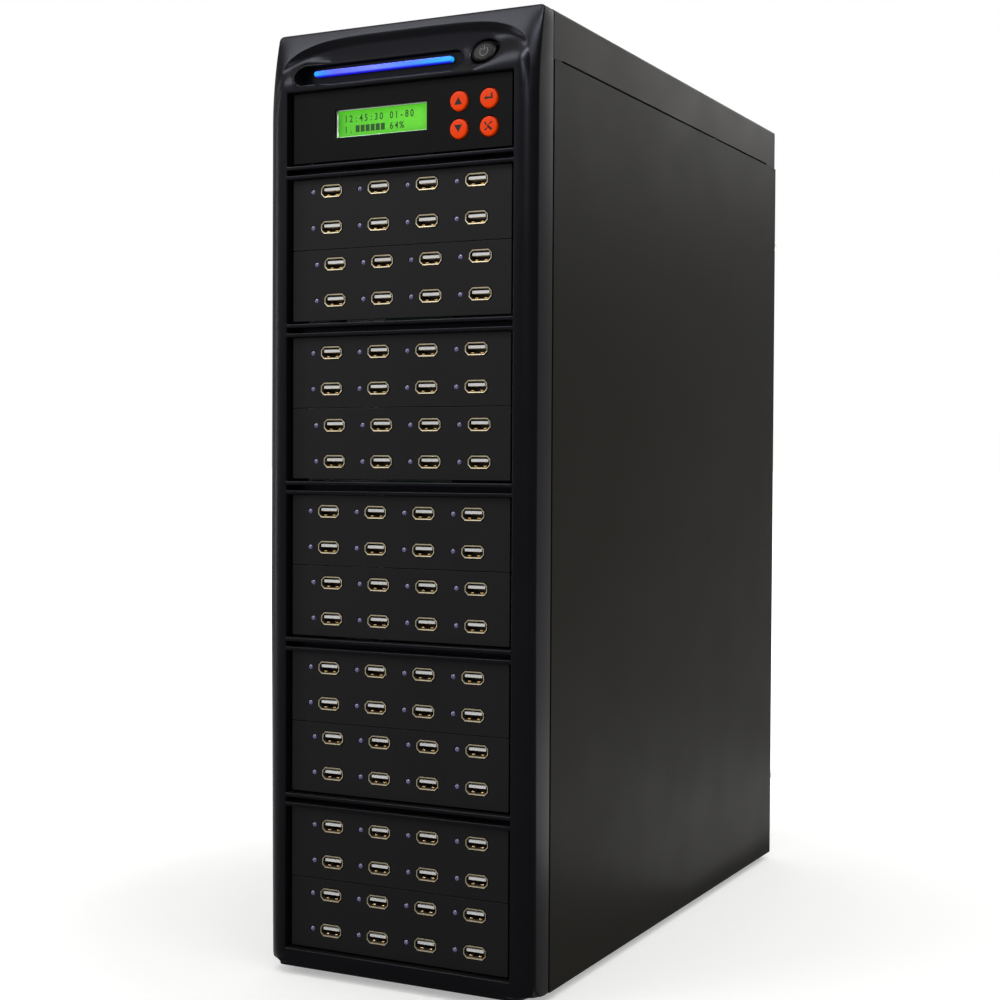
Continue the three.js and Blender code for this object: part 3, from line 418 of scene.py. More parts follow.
def stile_height(x, z):
    """How far the stiles stand forward, from the lip at the bays back to the outer edge."""
    across = held((abs(x) - half_opening) / (half_case - half_opening))
    up = held((z - foot) / (control_low - foot))
    down = held(1 - (z - foot) / fall_height)
    edge = outer_edge - edge_lean * up - edge_fall * down
    return lip - (lip - edge) * across ** stile_power


def underside(z):
    """How far the sloping underside of the chin has come forward at a height."""
    return chin_root + lip * (z - foot) / chin_rise


def outer_height(x, z):
    """The outer face, with its crest swept back, its chin rolled under and its sole sloped."""
    face = stile_height(x, z)
    sweep = held((z - sweep_start) / sweep_length)
    roll = held((foot + chin_sweep - z) / chin_sweep)
    swept = face + (crest_height - face) * sweep ** 2 - chin_drop * roll ** 2
    sole = underside(z)
    return (swept + sole - math.hypot(swept - sole, chin_edge)) / 2 if roll else swept


def scoop_face(x, z):
    """The scooped face inside the arch."""
    face = stile_height(x, z)
    up = held((z - scoop_start) / (arch_foot + arch_rise - scoop_start))
    aside = held((abs(x) - half_opening + side_blend) / side_blend)
    ease_in = scoop_ease + (scoop_side_ease - scoop_ease) * aside ** 2 * (3 - 2 * aside)
    up = up * up / (up + ease_in * (1 - up)) if up else 0
    return face - (face - scoop_height) * (1 - (1 - up) ** scoop_power)


def inside_arch(x, z):
    """How far a point lies inside the arch's line, and less than nought outside it."""
    wide = abs(x / arch_half)
    tall = max(z - arch_foot, 0) / arch_rise
    fall = math.hypot(wide ** (arch_power - 1) / arch_half, tall ** (arch_power - 1) / arch_rise)
    return (1 - wide ** arch_power - tall ** arch_power) / (arch_power * max(fall, 1))


def bezel_height(x, z):
    """The bezel's face: the scoop meets the outer face in a fillet along the arch."""
    outer = outer_height(x, z)
    reach = inside_arch(x, z) / arch_fillet
    if reach < 0:
        return outer
    return outer + (scoop_face(x, z) - outer) * (1 - (1 - held(reach)) ** 2)


weld = 0.001 * mm
round_steps = 48


def rounded_ring(x, z, half_wide, half_tall, corner, steps=4, stretch=1, foot_corner=None):
    """The points of a rectangle with round corners, each side in a number of stretches."""
    low_corner = corner if foot_corner is None else foot_corner
    bends = []
    for quarter, (east, north, radius) in enumerate(((1, 1, corner), (-1, 1, corner),
                                                     (-1, -1, low_corner), (1, -1, low_corner))):
        middle = Vector((x + east * (half_wide - radius), z + north * (half_tall - radius)))
        turns = [(quarter + step / steps) * math.pi / 2 for step in range(steps + 1)]
        bends.append([middle + radius * Vector((math.cos(a), math.sin(a))) for a in turns])
    points = []
    for bend, following in zip(bends, bends[1:] + bends[:1]):
        points.extend(bend)
        points.extend(bend[-1].lerp(following[0], i / stretch) for i in range(1, stretch))
    return [point for point, other in zip(points, points[1:] + points[:1])
            if (point - other).length > weld]


def oval_ring(x, z, half_wide, half_tall, steps=round_steps):
    """The points of an oval."""
    turns = [2 * math.pi * step / steps for step in range(steps)]
    return [Vector((x + half_wide * math.cos(a), z + half_tall * math.sin(a))) for a in turns]


class Sheet:
    """Points of the bezel's face, each with its height, and the lines that join them."""

    def __init__(self):
        self.spots = []
        self.heights = []
        self.lines = []

    def lay(self, points, height, closed=True):
        """Adds a line of points, at the heights that a function gives."""
        first = len(self.spots)
        count = len(points)
        self.spots.extend(points)
        self.heights.extend(min(height(*point), lip) for point in points)
        self.lines.extend((first + i, first + (i + 1) % count)
                          for i in range(count if closed else count - 1))


def dropped(drop):
    """The bezel's height, less a drop."""
    return lambda x, z: bezel_height(x, z) - drop


def ease(radius, share):
    """The drop of a round edge, at a share of its radius in from its outline."""
    return radius * (1 - math.sqrt(1 - (1 - share) ** 2))


edge_shares = (1, 0.6, 0.3, 0.1, 0)
lip_round = 0.8 * mm
rim_round = 0.9 * mm
rim_corner = 3 * mm
sole_corner = 1 * mm
chin_line_shares = (-0.35, -0.1, 0.1, 0.3, 0.7, 1.3)
chin_unit = 1 * mm
window_corner = 0.6 * mm
groove_lip = 2.3 * mm
groove_round = 0.6 * mm
groove_floor = lip - 10 * mm
wall_step = 0.05 * mm
reveal_depth = 0.9 * mm
reveal_inset = 1.2 * mm
long_stretch = 24

slot_low, slot_high = -71.5 * mm, 39.5 * mm
slot_foot = control_high + 3.6 * mm
slot_tall = 13 * mm
bead_shares = ((1.8, 0), (1.3, 0.35), (0.8, 0.6), (0.35, 0.5), (0, 0.1))
bead_unit = 1 * mm
slot_well = 11.5 * mm
well_insets = (0.5 * mm, 1.2 * mm)
bar_low, bar_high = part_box("light_bar")
button_low, button_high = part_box("power_button")
button_x = (button_low.x + button_high.x) / 2
button_z = (button_low.z + button_high.z) / 2
button_gap = 2.25 * mm
button_gap_tall = 1.7 * mm
button_grow = 0.7 * mm
button_round = 1.2 * mm

arch_steps = 90
arch_clear = 1.2 * mm
button_clear = 0.6 * mm
well_clear = 1.8 * mm
bead_clear = 2.4 * mm
crown_step = 2 * mm
edge_clear = 0.9 * mm
stile_clear = 1.2 * mm
stile_step = 7 * mm
stile_columns = 5
chin_step = 2.2 * mm
chin_rows = 4
chin_columns = 24


def lay_edge(sheet, radius, outline):
    """Lays the lines of a round edge, each further in or out from its outline."""
    for share in edge_shares:
        sheet.lay(outline(share * radius), dropped(ease(radius, share)))


def lay_rim(sheet):
    """Lays the outer edge, and the bend between the chin and its underside."""
    half_tall = (crest - foot) / 2
    lay_edge(sheet, rim_round,
             lambda inset: rounded_ring(0, foot + half_tall, half_case - inset, half_tall - inset,
                                        rim_corner - inset, stretch=4 * long_stretch,
                                        foot_corner=sole_corner - inset))
    reach = half_case - rim_round - sole_corner / 2
    for share in chin_line_shares:
        line = []
        for i in range(long_stretch + 1):
            x = reach * (2 * i / long_stretch - 1)
            bend = foot + chin_rise * (stile_height(x, foot) - chin_root) / (lip + chin_drop / 2)
            line.append(Vector((x, bend + share * chin_unit)))
        sheet.lay(line, bezel_height, closed=False)


def lay_windows(sheet):
    """Lays the edges of the windows, and returns the areas that are cut away."""
    windows = [(chin_top + i * pair_pitch, pair_height) for i in range(pairs)]
    windows.append((control_low, control_high - control_low))
    for low, tall in windows:
        lay_edge(sheet, lip_round,
                 lambda spread: rounded_ring(0, low + tall / 2, half_opening + spread,
                                             tall / 2 + spread, window_corner + spread,
                                             stretch=long_stretch))
    return [(-half_opening, half_opening, low, low + tall) for low, tall in windows]


def lay_grooves(sheet):
    """Lays the groove along each divider."""
    half_groove = divider / 2 - groove_lip
    for i in range(pairs):
        middle = chin_top + (i + 1) * pair_pitch - divider / 2

        def groove(spread):
            """The groove's outline, or a line round it."""
            return rounded_ring(0, middle, half_opening + spread, half_groove + spread,
                                groove_round + spread, stretch=long_stretch)

        lay_edge(sheet, groove_round, groove)
        sheet.lay(groove(-wall_step), lambda x, z: groove_floor)


def slot_outline(spread):
    """The outline of the slot, or a line round it."""
    half_tall = slot_tall / 2
    return rounded_ring((slot_low + slot_high) / 2, slot_foot + half_tall,
                        (slot_high - slot_low) / 2 + spread, half_tall + spread,
                        half_tall + spread, steps=14, stretch=2 * long_stretch)


def button_hole(spread):
    """Half the width and height of the power button's hole, or of a line round it."""
    return ((button_high.x - button_low.x) / 2 + button_gap + spread,
            (button_high.z - button_low.z) / 2 + button_gap_tall + spread)


def well_height(x, z):
    """The flat floor of the slot."""
    return slot_well


def lay_crown(sheet):
    """Lays the lines of the arch, the slot and the hole for the power button."""
    for part in arch_shares:
        grow = -part * arch_fillet
        line = []
        for i in range(arch_steps + 1):
            x = -(arch_half + grow) * math.cos(math.pi * i / arch_steps)
            share = 1 - abs(x / (arch_half + grow)) ** arch_power
            line.append(Vector((x, arch_foot + (arch_rise + grow)
                                * held(share) ** (1 / arch_power))))
        sheet.lay(line, bezel_height, closed=False)
    for spread, rise in bead_shares:
        sheet.lay(slot_outline(spread * bead_unit), dropped(-rise * bead_unit))
    for inset in well_insets:
        sheet.lay(slot_outline(-inset), well_height)
    lay_edge(sheet, button_round,
             lambda spread: oval_ring(button_x, button_z, *button_hole(spread)))


def in_oval(x, z, spread):
    """Whether a point lies in the power button's hole, or inside a line round it."""
    wide, tall = button_hole(spread)
    return ((x - button_x) / wide) ** 2 + ((z - button_z) / tall) ** 2 < 1


def in_slot(x, z, spread=0):
    """Whether a point lies in the slot, or inside a line round it."""
    half_tall = slot_tall / 2
    along = min(max(x, slot_low + half_tall), slot_high - half_tall)
    return math.hypot(x - along, z - slot_foot - half_tall) < half_tall + spread


def is_clear(x, z):
    """Whether a point lies clear of the lines of the arch, the slot and the button."""
    wide = arch_shares[-1] * arch_fillet + arch_clear
    at_arch = z > arch_foot - arch_clear and -arch_clear < inside_arch(x, z) < wide
    spread = -well_clear if in_slot(x, z) else bead_clear
    at_slot = in_slot(x, z, spread) != in_slot(x, z)
    return not (at_arch or at_slot or in_oval(x, z, button_round + button_clear))


def fill_points(sheet):
    """Lays loose points where the face curves between its edges."""
    def add(x, z, height=bezel_height):
        """Lays one point."""
        sheet.lay([Vector((x, z))], height, closed=False)

    margin = rim_round + edge_clear
    start = control_high + lip_round + edge_clear
    for i in range(int(2 * (half_case - margin) / crown_step) + 1):
        for j in range(int((crest - margin - start) / crown_step) + 1):
            x = margin - half_case + i * crown_step
            z = start + j * crown_step
            if is_clear(x, z):
                add(x, z, well_height if in_slot(x, z) else bezel_height)
    inner = half_opening + lip_round + stile_clear
    outer = half_case - margin
    for j in range(int((start - foot - margin) / stile_step)):
        for k in range(stile_columns + 1):
            for side in (-1, 1):
                add(side * (inner + (outer - inner) * k / stile_columns),
                    foot + margin + j * stile_step)
    for i in range(chin_columns + 1):
        for k in range(chin_rows):
            add(half_opening * (2 * i / chin_columns - 1), foot + margin + k * chin_step)


def on_face(spot, reach):
    """Whether a point lies well inside the bezel's outline."""
    return abs(spot.x) < reach and foot + rim_corner < spot.z < crest - rim_corner


def pull_back(bm, rim, y):
    """Draws walls from some edges back to a depth, and returns their new corners."""
    made = bmesh.ops.extrude_edge_only(bm, edges=rim)["geom"]
    corners = [part for part in made if isinstance(part, bmesh.types.BMVert)]
    for corner in corners:
        corner.co.y = y
    return corners


def join_face(sheet, areas):
    """The bezel's face, joined up over all its lines, less its windows and the button's hole."""
    flat = [spot / mm for spot in sheet.spots]
    near = weld / (2 * mm)
    spots, _, faces, origins, _, _ = geometry.delaunay_2d_cdt(flat, sheet.lines, [], 0, near)
    bm = bmesh.new()
    corners = []
    for spot, came in zip(spots, origins):
        height = sheet.heights[came[0]] if came else bezel_height(*(spot * mm))
        corners.append(bm.verts.new((spot.x * mm, case_front - height, spot.y * mm)))
    for face in faces:
        middle = sum((Vector(spots[i]) for i in face), Vector((0, 0))) * mm / len(face)
        cut = any(left < middle.x < right and low < middle.y < high
                  for left, right, low, high in areas)
        if not cut and not in_oval(middle.x, middle.y, 0):
            bm.faces.new([corners[i] for i in face])
    bmesh.ops.delete(bm, geom=[v for v in bm.verts if not v.link_faces], context="VERTS")
    return bm


def add_walls(bm):
    """Draws the walls back to the case. The last of the outer wall is set in, which leaves a
    dark line between the bezel and the case."""
    half_tall = (crest - foot) / 2
    rim = [edge for edge in bm.edges if edge.is_boundary]
    back = pull_back(bm, rim, case_front)
    outer = [vert for vert in back if not on_face(vert.co, half_case - rim_corner)]
    for vert in outer:
        vert.co.y -= reveal_depth
    kept = set(outer)
    rim = [edge for edge in bm.edges if edge.is_boundary and kept.issuperset(edge.verts)]
    for vert in pull_back(bm, rim, case_front - reveal_depth):
        vert.co.x *= 1 - reveal_inset / half_case
        vert.co.z += (foot + half_tall - vert.co.z) * reveal_inset / half_tall
    rim = [edge for edge in bm.edges if edge.is_boundary and not kept.intersection(edge.verts)
           and abs(edge.verts[0].co.y - case_front + reveal_depth) < wall_step]
    pull_back(bm, rim, case_front)


def build_bezel():
    """The bezel's face, laid out edge by edge, with its walls."""
    sheet = Sheet()
    lay_rim(sheet)
    areas = lay_windows(sheet)
    lay_grooves(sheet)
    lay_crown(sheet)
    fill_points(sheet)
    bm = join_face(sheet, areas)
    add_walls(bm)
    return bm


def close_mesh(name, bm, *skins):
    """Turns a built shape into a mesh: its faces smooth, and its corners sharp."""
    bmesh.ops.recalc_face_normals(bm, faces=bm.faces)
    for face in bm.faces:
        face.smooth = True
    for edge in bm.edges:
        edge.smooth = edge.is_manifold and edge.calc_face_angle(0) < crease
    mesh = bpy.data.meshes.new(name)
    bm.to_mesh(mesh)
    bm.free()
    for skin in skins:
        mesh.materials.append(skin)
    return mesh


def place(name, mesh, body, nodes=(), at=(0, 0, 0)):
    """Puts a mesh in the scene as a piece that rides on a body and stands for some solids."""
    made = bpy.data.objects.new(name, mesh)
    made.location = at
    bpy.context.scene.collection.objects.link(made)
    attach(made, body)
    if nodes:
        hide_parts(*nodes)
    return made


moulding_grain = 0.35 * mm
moulding_bump = 0.012 * mm


def plastic(name, deep, pale, rough, bump=moulding_bump, **more):
    """The finish of moulded plastic, or of print on it."""
    return finish(name, deep, pale, rough, moulding_grain, bump, **more)


satin_black = plastic("satin black plastic", "0a0a0b", "0e0e0f", 0.3, worn="222326", wear=0.25,
                      dust=0.05, Specular_Tint=paint("e4e7ff"), Specular_IOR_Level=0.035)
place("bezel_moulding", close_mesh("bezel moulding", build_bezel(), satin_black), "case",
      ["front_bezel"])

# Light bar
# A strip of clear blue acrylic that stands in the crown's slot. Two lamps behind its ends light
# it, so the ends are paler and its edges are a deeper blue.
bar_edge = 0.7 * mm
bar_glow = 0.9
glow_drift = 0.15
glow_scale = 12
glow_rim = 0.22
bar_middle = (bar_low + bar_high) / 2


def ring_at(ring, y, slant=0, about=0):
    """Points in X and Z, set at a depth. With a slant, the depth changes with height."""
    return [Vector((point.x, y + slant * (point.y - about), point.y)) for point in ring]


def add_loft(bm, rings, skin=0, first=True, last=True):
    """Adds a skin over a row of rings that have the same number of points. The skin is one
    finish, or one for each band."""
    rows = [[bm.verts.new(point) for point in ring] for ring in rings]
    count = len(rows[0])
    for band, (near, far) in enumerate(zip(rows, rows[1:])):
        for i in range(count):
            j = (i + 1) % count
            face = bm.faces.new((near[i], near[j], far[j], far[i]))
            face.material_index = skin if isinstance(skin, int) else skin[band]
    for wanted, row, at in ((first, rows[0], 0), (last, rows[-1], -1)):
        if wanted:
            face = bm.faces.new(row)
            face.material_index = skin if isinstance(skin, int) else skin[at]


def edge_stages(edge, front):
    """How far in a round edge lies, and at which depth, from its outline to its face."""
    return [(share * edge, front + ease(edge, share)) for share in reversed(edge_shares)]


def glow(name, colours, edge, strength, base, rough=0.2):
    """A lit piece of clear plastic: its colour runs along X, and is deeper at its edges."""
    made = bpy.data.materials.new(name)
    made.use_nodes = True
    tree = made.node_tree
    shader = tree.nodes["Principled BSDF"]
    shader.inputs["Roughness"].default_value = rough
    shader.inputs["Specular IOR Level"].default_value = 0.1
    shader.inputs["Base Color"].default_value = paint(base)
    shader.inputs["Emission Strength"].default_value = strength
    where = put(tree, "ShaderNodeTexCoord").outputs["Generated"]
    along = put(tree, "ShaderNodeSeparateXYZ", {0: where}).outputs
    ramp = put(tree, "ShaderNodeValToRGB", {0: along["X"]})
    stops = ramp.color_ramp.elements
    while len(stops) < len(colours):
        stops.new(0.5)
    for stop, (share, code) in zip(stops, colours):
        stop.position = share
        stop.color = paint(code)
    off_middle = reckon(tree, "ABSOLUTE", reckon(tree, "SUBTRACT", along["Z"], 0.5))
    at_edge = remap(tree, off_middle, From_Min=glow_rim, From_Max=0.5)
    shaded = blend(tree, at_edge, ramp.outputs["Color"], paint(edge))
    speckle = put(tree, "ShaderNodeTexNoise", {"Vector": where, "Scale": glow_scale, "Detail": 2})
    dim = remap(tree, speckle.outputs["Fac"], To_Min=1 - glow_drift, To_Max=1 + glow_drift)
    lit = put(tree, "ShaderNodeVectorMath", {0: shaded, "Scale": dim}, operation="SCALE")
    tree.links.new(lit.outputs[0], shader.inputs["Emission Color"])
    return made


lit_blue = glow("lit blue acrylic", ((0, "18bcff"), (0.07, "2a8cff"), (0.16, "6268ee"),
                                     (0.45, "7a8cf4"), (0.72, "3c8cff"), (0.95, "20bcff")),
                "1c10d8", bar_glow, "2030a0")


def build_bar():
    """The bar: a stadium with a round front edge."""
    bm = bmesh.new()
    half_long = (bar_high.x - bar_low.x) / 2
    half_tall = (bar_high.z - bar_low.z) / 2

    def outline(inset):
        """The bar's outline, or a line inside it."""
        return rounded_ring(bar_middle.x, bar_middle.z, half_long - inset, half_tall - inset,
                            half_tall - inset, steps=8)

    rings = [ring_at(outline(0), bar_high.y)]
    rings += [ring_at(outline(inset), y) for inset, y in edge_stages(bar_edge, bar_low.y)]
    add_loft(bm, rings)
    return bm


place("light_bar_strip", close_mesh("light bar", build_bar(), lit_blue), "case",
      ["light_bar"])

# Power button and its switch
# A glossy black oval cap with a slanted face that carries the common sign for power, pushed
# through the crown on to a small switch.
button_half_wide = (button_high.x - button_low.x) / 2 + button_grow
button_half_tall = (button_high.z - button_low.z) / 2 + button_grow
button_edge = 2 * mm
button_slope = 0.35
button_skirt = 5 * mm
sign_radius = 2.5 * mm
sign_line = 0.5 * mm
sign_raise = 0.12 * mm
sign_gap = math.radians(35)
sign_steps = 24
# The corners of the sign's bar: shares of half its width, and of the ring's radius.
bar_shares = ((-1, 0.25), (1, 0.25), (1, 1.3), (-1, 1.3))
upright = Matrix.Rotation(math.pi / 2, 4, "X")
gloss_black = plastic("gloss black plastic", "08080a", "0b0b0d", 0.3, moulding_bump / 4,
                      worn="30303a", wear=0.1, dust=0.05, Specular_IOR_Level=0.018)
sign_grey = plastic("printed grey", "1e1e22", "28282c", 0.4, Specular_IOR_Level=0.1)


def arc(radius, start, end):
    """Points along part of a circle."""
    turns = [start + (end - start) * i / sign_steps for i in range(sign_steps + 1)]
    return [Vector((radius * math.cos(a), radius * math.sin(a))) for a in turns]


def add_curve(bm, curve, turn, skin=0):
    """Adds the flat or pressed shape of a curve, turned and moved to its place."""
    holder = bpy.data.objects.new("outline", curve)
    shape = bpy.data.meshes.new_from_object(holder)
    shape.transform(turn)
    before = len(bm.faces)
    bm.from_mesh(shape)
    bm.faces.ensure_lookup_table()
    for face in bm.faces[before:]:
        face.material_index = skin
    bpy.data.meshes.remove(shape)
    bpy.data.objects.remove(holder)
    bpy.data.curves.remove(curve)


def pressed_plate(bm, outlines, front, gauge, edge, skin=0):
    """Adds a flat plate that faces the front, from its outline and the outlines of its holes."""
    curve = bpy.data.curves.new("outline", "CURVE")
    curve.dimensions = "2D"
    curve.fill_mode = "BOTH"
    curve.extrude = gauge / 2 - edge
    curve.bevel_depth = edge
    curve.bevel_resolution = 1
    curve.offset = -edge
    for points in outlines:
        spline = curve.splines.new("POLY")
        spline.points.add(len(points) - 1)
        for spot, point in zip(spline.points, points):
            spot.co = (point.x, point.y, 0, 1)
        spline.use_cyclic_u = True
    add_curve(bm, curve, Matrix.Translation((0, front + gauge / 2, 0)) @ upright, skin)


def build_button():
    """The cap with its slanted face, and the sign raised on it: a broken ring and a bar."""
    bm = bmesh.new()
    middle_front = button_low.y + button_slope * button_half_tall

    def outline(inset):
        """The cap's outline, or a line inside it."""
        return oval_ring(button_x, button_z, button_half_wide - inset, button_half_tall - inset)

    rings = [ring_at(outline(0), middle_front + button_skirt)]
    rings += [ring_at(outline(inset), y, button_slope, button_z)
              for inset, y in edge_stages(button_edge, middle_front)]
    add_loft(bm, rings)
    half_line = sign_line / 2
    start = math.pi / 2 + sign_gap
    end = 2.5 * math.pi - sign_gap
    ring = arc(sign_radius + half_line, start, end) + arc(sign_radius - half_line, end, start)
    bar = [Vector((side * half_line, up * sign_radius)) for side, up in bar_shares]
    before = len(bm.verts)
    pressed_plate(bm, [ring, bar], -sign_raise, 2 * sign_raise, sign_raise / 4, skin=1)
    bm.verts.ensure_lookup_table()
    for vert in bm.verts[before:]:
        vert.co += Vector((button_x, middle_front + button_slope * vert.co.z, button_z))
    return bm


place("power_cap", close_mesh("power cap", build_button(), gloss_black, sign_grey), "power_push",
      ["power_button"])
dress(satin_black, sheet_edge, "power_switch")

# Control plate
# A steel plate in matt black, with an ear folded back on each side, a window for the display
# and four round holes for the keys. The place left of the display is bare.
plate_edge = 0.3 * mm
control_gauge = 2 * mm
ear_gauge = 1.2 * mm
ear_half_tall = 17 * mm
plate_grain = 0.4 * mm
plate_bump = 0.02 * mm
display_half_wide = 30.9 * mm
display_half_tall = 8.2 * mm
display_x = -12.9 * mm
key_hole = 6.1 * mm
key_names = ("up_key", "down_key", "enter_key", "escape_key")
plate_black = finish("matt black plate", "131214", "161517", 0.5, plate_grain, plate_bump,
                     worn="2c2b2e", wear=0.3, dust=0.05, Specular_IOR_Level=0.04)
control_black = finish("satin black plate", "0c0c0d", "0f0f10", 0.42, plate_grain, plate_bump / 2,
                       worn="2c2b2e", wear=0.3, dust=0.05, Specular_IOR_Level=0.02)


def add_block(bm, low, high, skin=0, edge=0):
    """Adds a block between two corners, with its edges cut back a little."""
    made = bmesh.ops.create_cube(bm, size=1)["verts"]
    low = Vector(low)
    size = Vector(high) - low
    for vert in made:
        vert.co = low + Vector((a * (b + 0.5) for a, b in zip(size, vert.co)))
    faces = {face for vert in made for face in vert.link_faces}
    for face in faces:
        face.material_index = skin
    if edge:
        edges = {e for vert in made for e in vert.link_edges}
        bmesh.ops.bevel(bm, geom=list(edges), offset=edge, segments=1, affect="EDGES")


def add_bar(bm, x, z, half_wide, half_tall, front, back, skin=0, edge=0):
    """Adds a block about a point of the front view, from one depth to another."""
    add_block(bm, (x - half_wide, front, z - half_tall), (x + half_wide, back, z + half_tall),
              skin, edge)


def add_ears(bm, low, high):
    """Adds the two ears of a bay plate, which the rails of the cage hold."""
    for side in (-1, 1):
        outer = side * high.x
        inner = side * (high.x - ear_gauge)
        add_block(bm, (min(outer, inner), low.y + plate_edge, -ear_half_tall),
                  (max(outer, inner), high.y, ear_half_tall))


def middle_of(name):
    """The middle of a solid."""
    low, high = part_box(name)
    return (low + high) / 2


def build_control_plate():
    """The plate with its window and key holes, and its ears."""
    bm = bmesh.new()
    middle = (plate_low.z + plate_high.z) / 2
    outlines = [rounded_ring(0, 0, plate_high.x, (plate_high.z - plate_low.z) / 2, window_corner),
                rounded_ring(display_x, middle_of("display_module").z - middle,
                             display_half_wide, display_half_tall, window_corner / 2)]
    for name in key_names:
        spot = middle_of(name)
        outlines.append(oval_ring(spot.x, spot.z - middle, key_hole, key_hole))
    pressed_plate(bm, outlines, plate_low.y, control_gauge, plate_edge)
    add_ears(bm, plate_low, plate_high)
    return bm


place("control_face", close_mesh("control face", build_control_plate(), control_black), "case",
      ["control_plate"], at=(0, 0, (plate_low.z + plate_high.z) / 2))

# Display
# A liquid crystal module on its own board: a folded tin frame, a green backlight, and two lines
# of dark dots behind glass. It shows plain numbers and a row of filled blocks.
module_low, module_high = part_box("display_module")
module_middle = (module_low + module_high) / 2
frame_half_wide = 35.5 * mm
frame_half_tall = 12 * mm
frame_lip = 0.8 * mm
frame_lap = 0.5 * mm
frame_gap = 0.4 * mm
frame_depth = 6 * mm
board_edge = 0.1 * mm
glass_gauge = 0.3 * mm
character = 3.44 * mm
character_tall = 5.6 * mm
character_weight = 0.11 * mm
character_squeeze = 0.85
line_pitch = 6.2 * mm
line_rise = 0.9 * mm
text_start = 0.065
percent_cell = 9
block_cell = 2.4
block_count = 6
dot_raise = 0.05 * mm
block_gauge = 0.02 * mm
block_tall = 4 * mm
block_share = 0.8
tin = bare_metal("tin frame", "9c9d9f", "c4c5c6", 0.35)
board_patch = 6 * mm
board_green = finish("circuit board", "0f4a26", "1c6436", 0.35, zinc_grain, zinc_bump,
                     patch=board_patch, dust=0.1)
# The green darkens towards its left end: painted shade of the left wall of the plate's window. It
# is also a little darker at its right end and along its top and bottom.
backlight = glow("lit green panel", ((0, "2f9a10"), (0.02, "3fb014"), (0.1, "55cf1c"),
                                     (0.5, "5cdb1f"), (0.9, "66e428"), (1, "52c81a")),
                 "4fc51a", 0.82, "20400c", rough=0.45)
dark_dots = finish("dark dots", "154a08", "1a540b", 0.5, zinc_grain, zinc_bump,
                   Specular_IOR_Level=0.1)


def add_text(bm, words, left, base, front):
    """Adds plain characters, one to each cell of a line."""
    for cell, letter in enumerate(words):
        curve = bpy.data.curves.new("character", "FONT")
        curve.body = letter
        curve.size = character_tall
        curve.offset = character_weight
        curve.align_x = "CENTER"
        spot = Matrix.Translation((left + (cell + 0.5) * character, front, base))
        add_curve(bm, curve, spot @ upright @ Matrix.Diagonal((character_squeeze, 1, 1, 1)))


def build_frame():
    """The tin frame round the glass, with the board behind it."""
    bm = bmesh.new()
    x, z = module_middle.x, module_middle.z
    pressed_plate(bm, [rounded_ring(x, z, frame_half_wide, frame_half_tall, window_corner),
                       rounded_ring(x, z, display_half_wide - frame_lap,
                                    display_half_tall - frame_lap, window_corner / 2)],
                  module_low.y, frame_lip, board_edge)
    add_bar(bm, x, z, frame_half_wide, frame_half_tall, module_low.y + frame_lip + frame_gap,
            module_low.y + frame_depth)
    add_block(bm, (module_low.x, module_low.y + frame_depth, module_low.z),
              module_high, skin=1, edge=board_edge)
    return bm


def build_glass():
    """The lit panel."""
    bm = bmesh.new()
    front = module_low.y + frame_lip
    add_bar(bm, module_middle.x, module_middle.z, display_half_wide, display_half_tall, front,
            front + glass_gauge)
    return bm


def build_dots():
    """The two lines of characters, with six filled blocks in the lower one."""
    bm = bmesh.new()
    left = module_middle.x - display_half_wide * (1 - 2 * text_start)
    front = module_low.y + frame_lip - dot_raise
    upper = module_middle.z + line_rise
    lower = upper - line_pitch
    add_text(bm, "12:45:30 01-80", left, upper, front)
    add_text(bm, "1.", left, lower, front)
    add_text(bm, "64%", left + percent_cell * character, lower, front)
    for cell in range(block_count):
        start = left + (cell + block_cell) * character
        add_block(bm, (start, front, lower),
                  (start + block_share * character, front + block_gauge, lower + block_tall))
    return bm


place("display_frame", close_mesh("display frame", build_frame(), tin, board_green), "case",
      ["display_module"])
place("display_glass", close_mesh("display glass", build_glass(), backlight), "case")
place("display_dots", close_mesh("display dots", build_dots(), dark_dots), "case")

# Keys
# Four round caps in orange plastic, each with a sign printed in black: up, down, a bent arrow
# to enter and a cross to escape. A rim behind the plate keeps each cap in.
key_edge = 0.7 * mm
key_crown = 0.15 * mm
key_radius = 5.5 * mm
key_proud = 1.5 * mm
key_tip = 0.1 * mm
rim_radius = 7.1 * mm
rim_gauge = 0.9 * mm
rim_clear = 0.1 * mm
stem_radius = 2 * mm
sign_gauge = 0.1 * mm
triangle_half_wide = 2.5 * mm
triangle_half_tall = 2.2 * mm
arrow_reach = 2.7 * mm
arrow_half_line = 0.55 * mm
head_share = 2.2
cross_reach = 3.2 * mm
cross_half_line = 0.6 * mm
key_orange = plastic("orange plastic", "f23c00", "ff4a02", 0.36, worn="ff7a40", wear=0.2,
                     Specular_IOR_Level=0.04)
print_black = plastic("printed black", "0c0807", "120d0c", 0.5, Specular_IOR_Level=0.08)


def triangle(way):
    """The outline of a triangle that points up or down."""
    return [Vector((-triangle_half_wide, -way * triangle_half_tall)),
            Vector((triangle_half_wide, -way * triangle_half_tall)),
            Vector((0, way * triangle_half_tall))][::way]


def cross(reach, half_line):
    """The outline of a cross on its corner."""
    points = []
    for quarter in range(4):
        turn = Matrix.Rotation(math.pi / 4 + quarter * math.pi / 2, 2)
        points.extend(turn @ Vector(corner) for corner in
                      ((half_line, half_line), (reach, half_line), (reach, -half_line)))
    return points[::-1]


def bent_arrow(reach, half_line):
    """The outline of an arrow that comes down and turns left."""
    head = head_share * half_line
    neck = head - reach
    points = ((reach, reach), (reach - 2 * half_line, reach), (reach - 2 * half_line, half_line),
              (neck + head / 2, half_line), (neck + head / 2, head), (-reach - head / 4, 0),
              (neck + head / 2, -head), (neck + head / 2, -half_line), (reach, -half_line))
    return [Vector(point) for point in points]


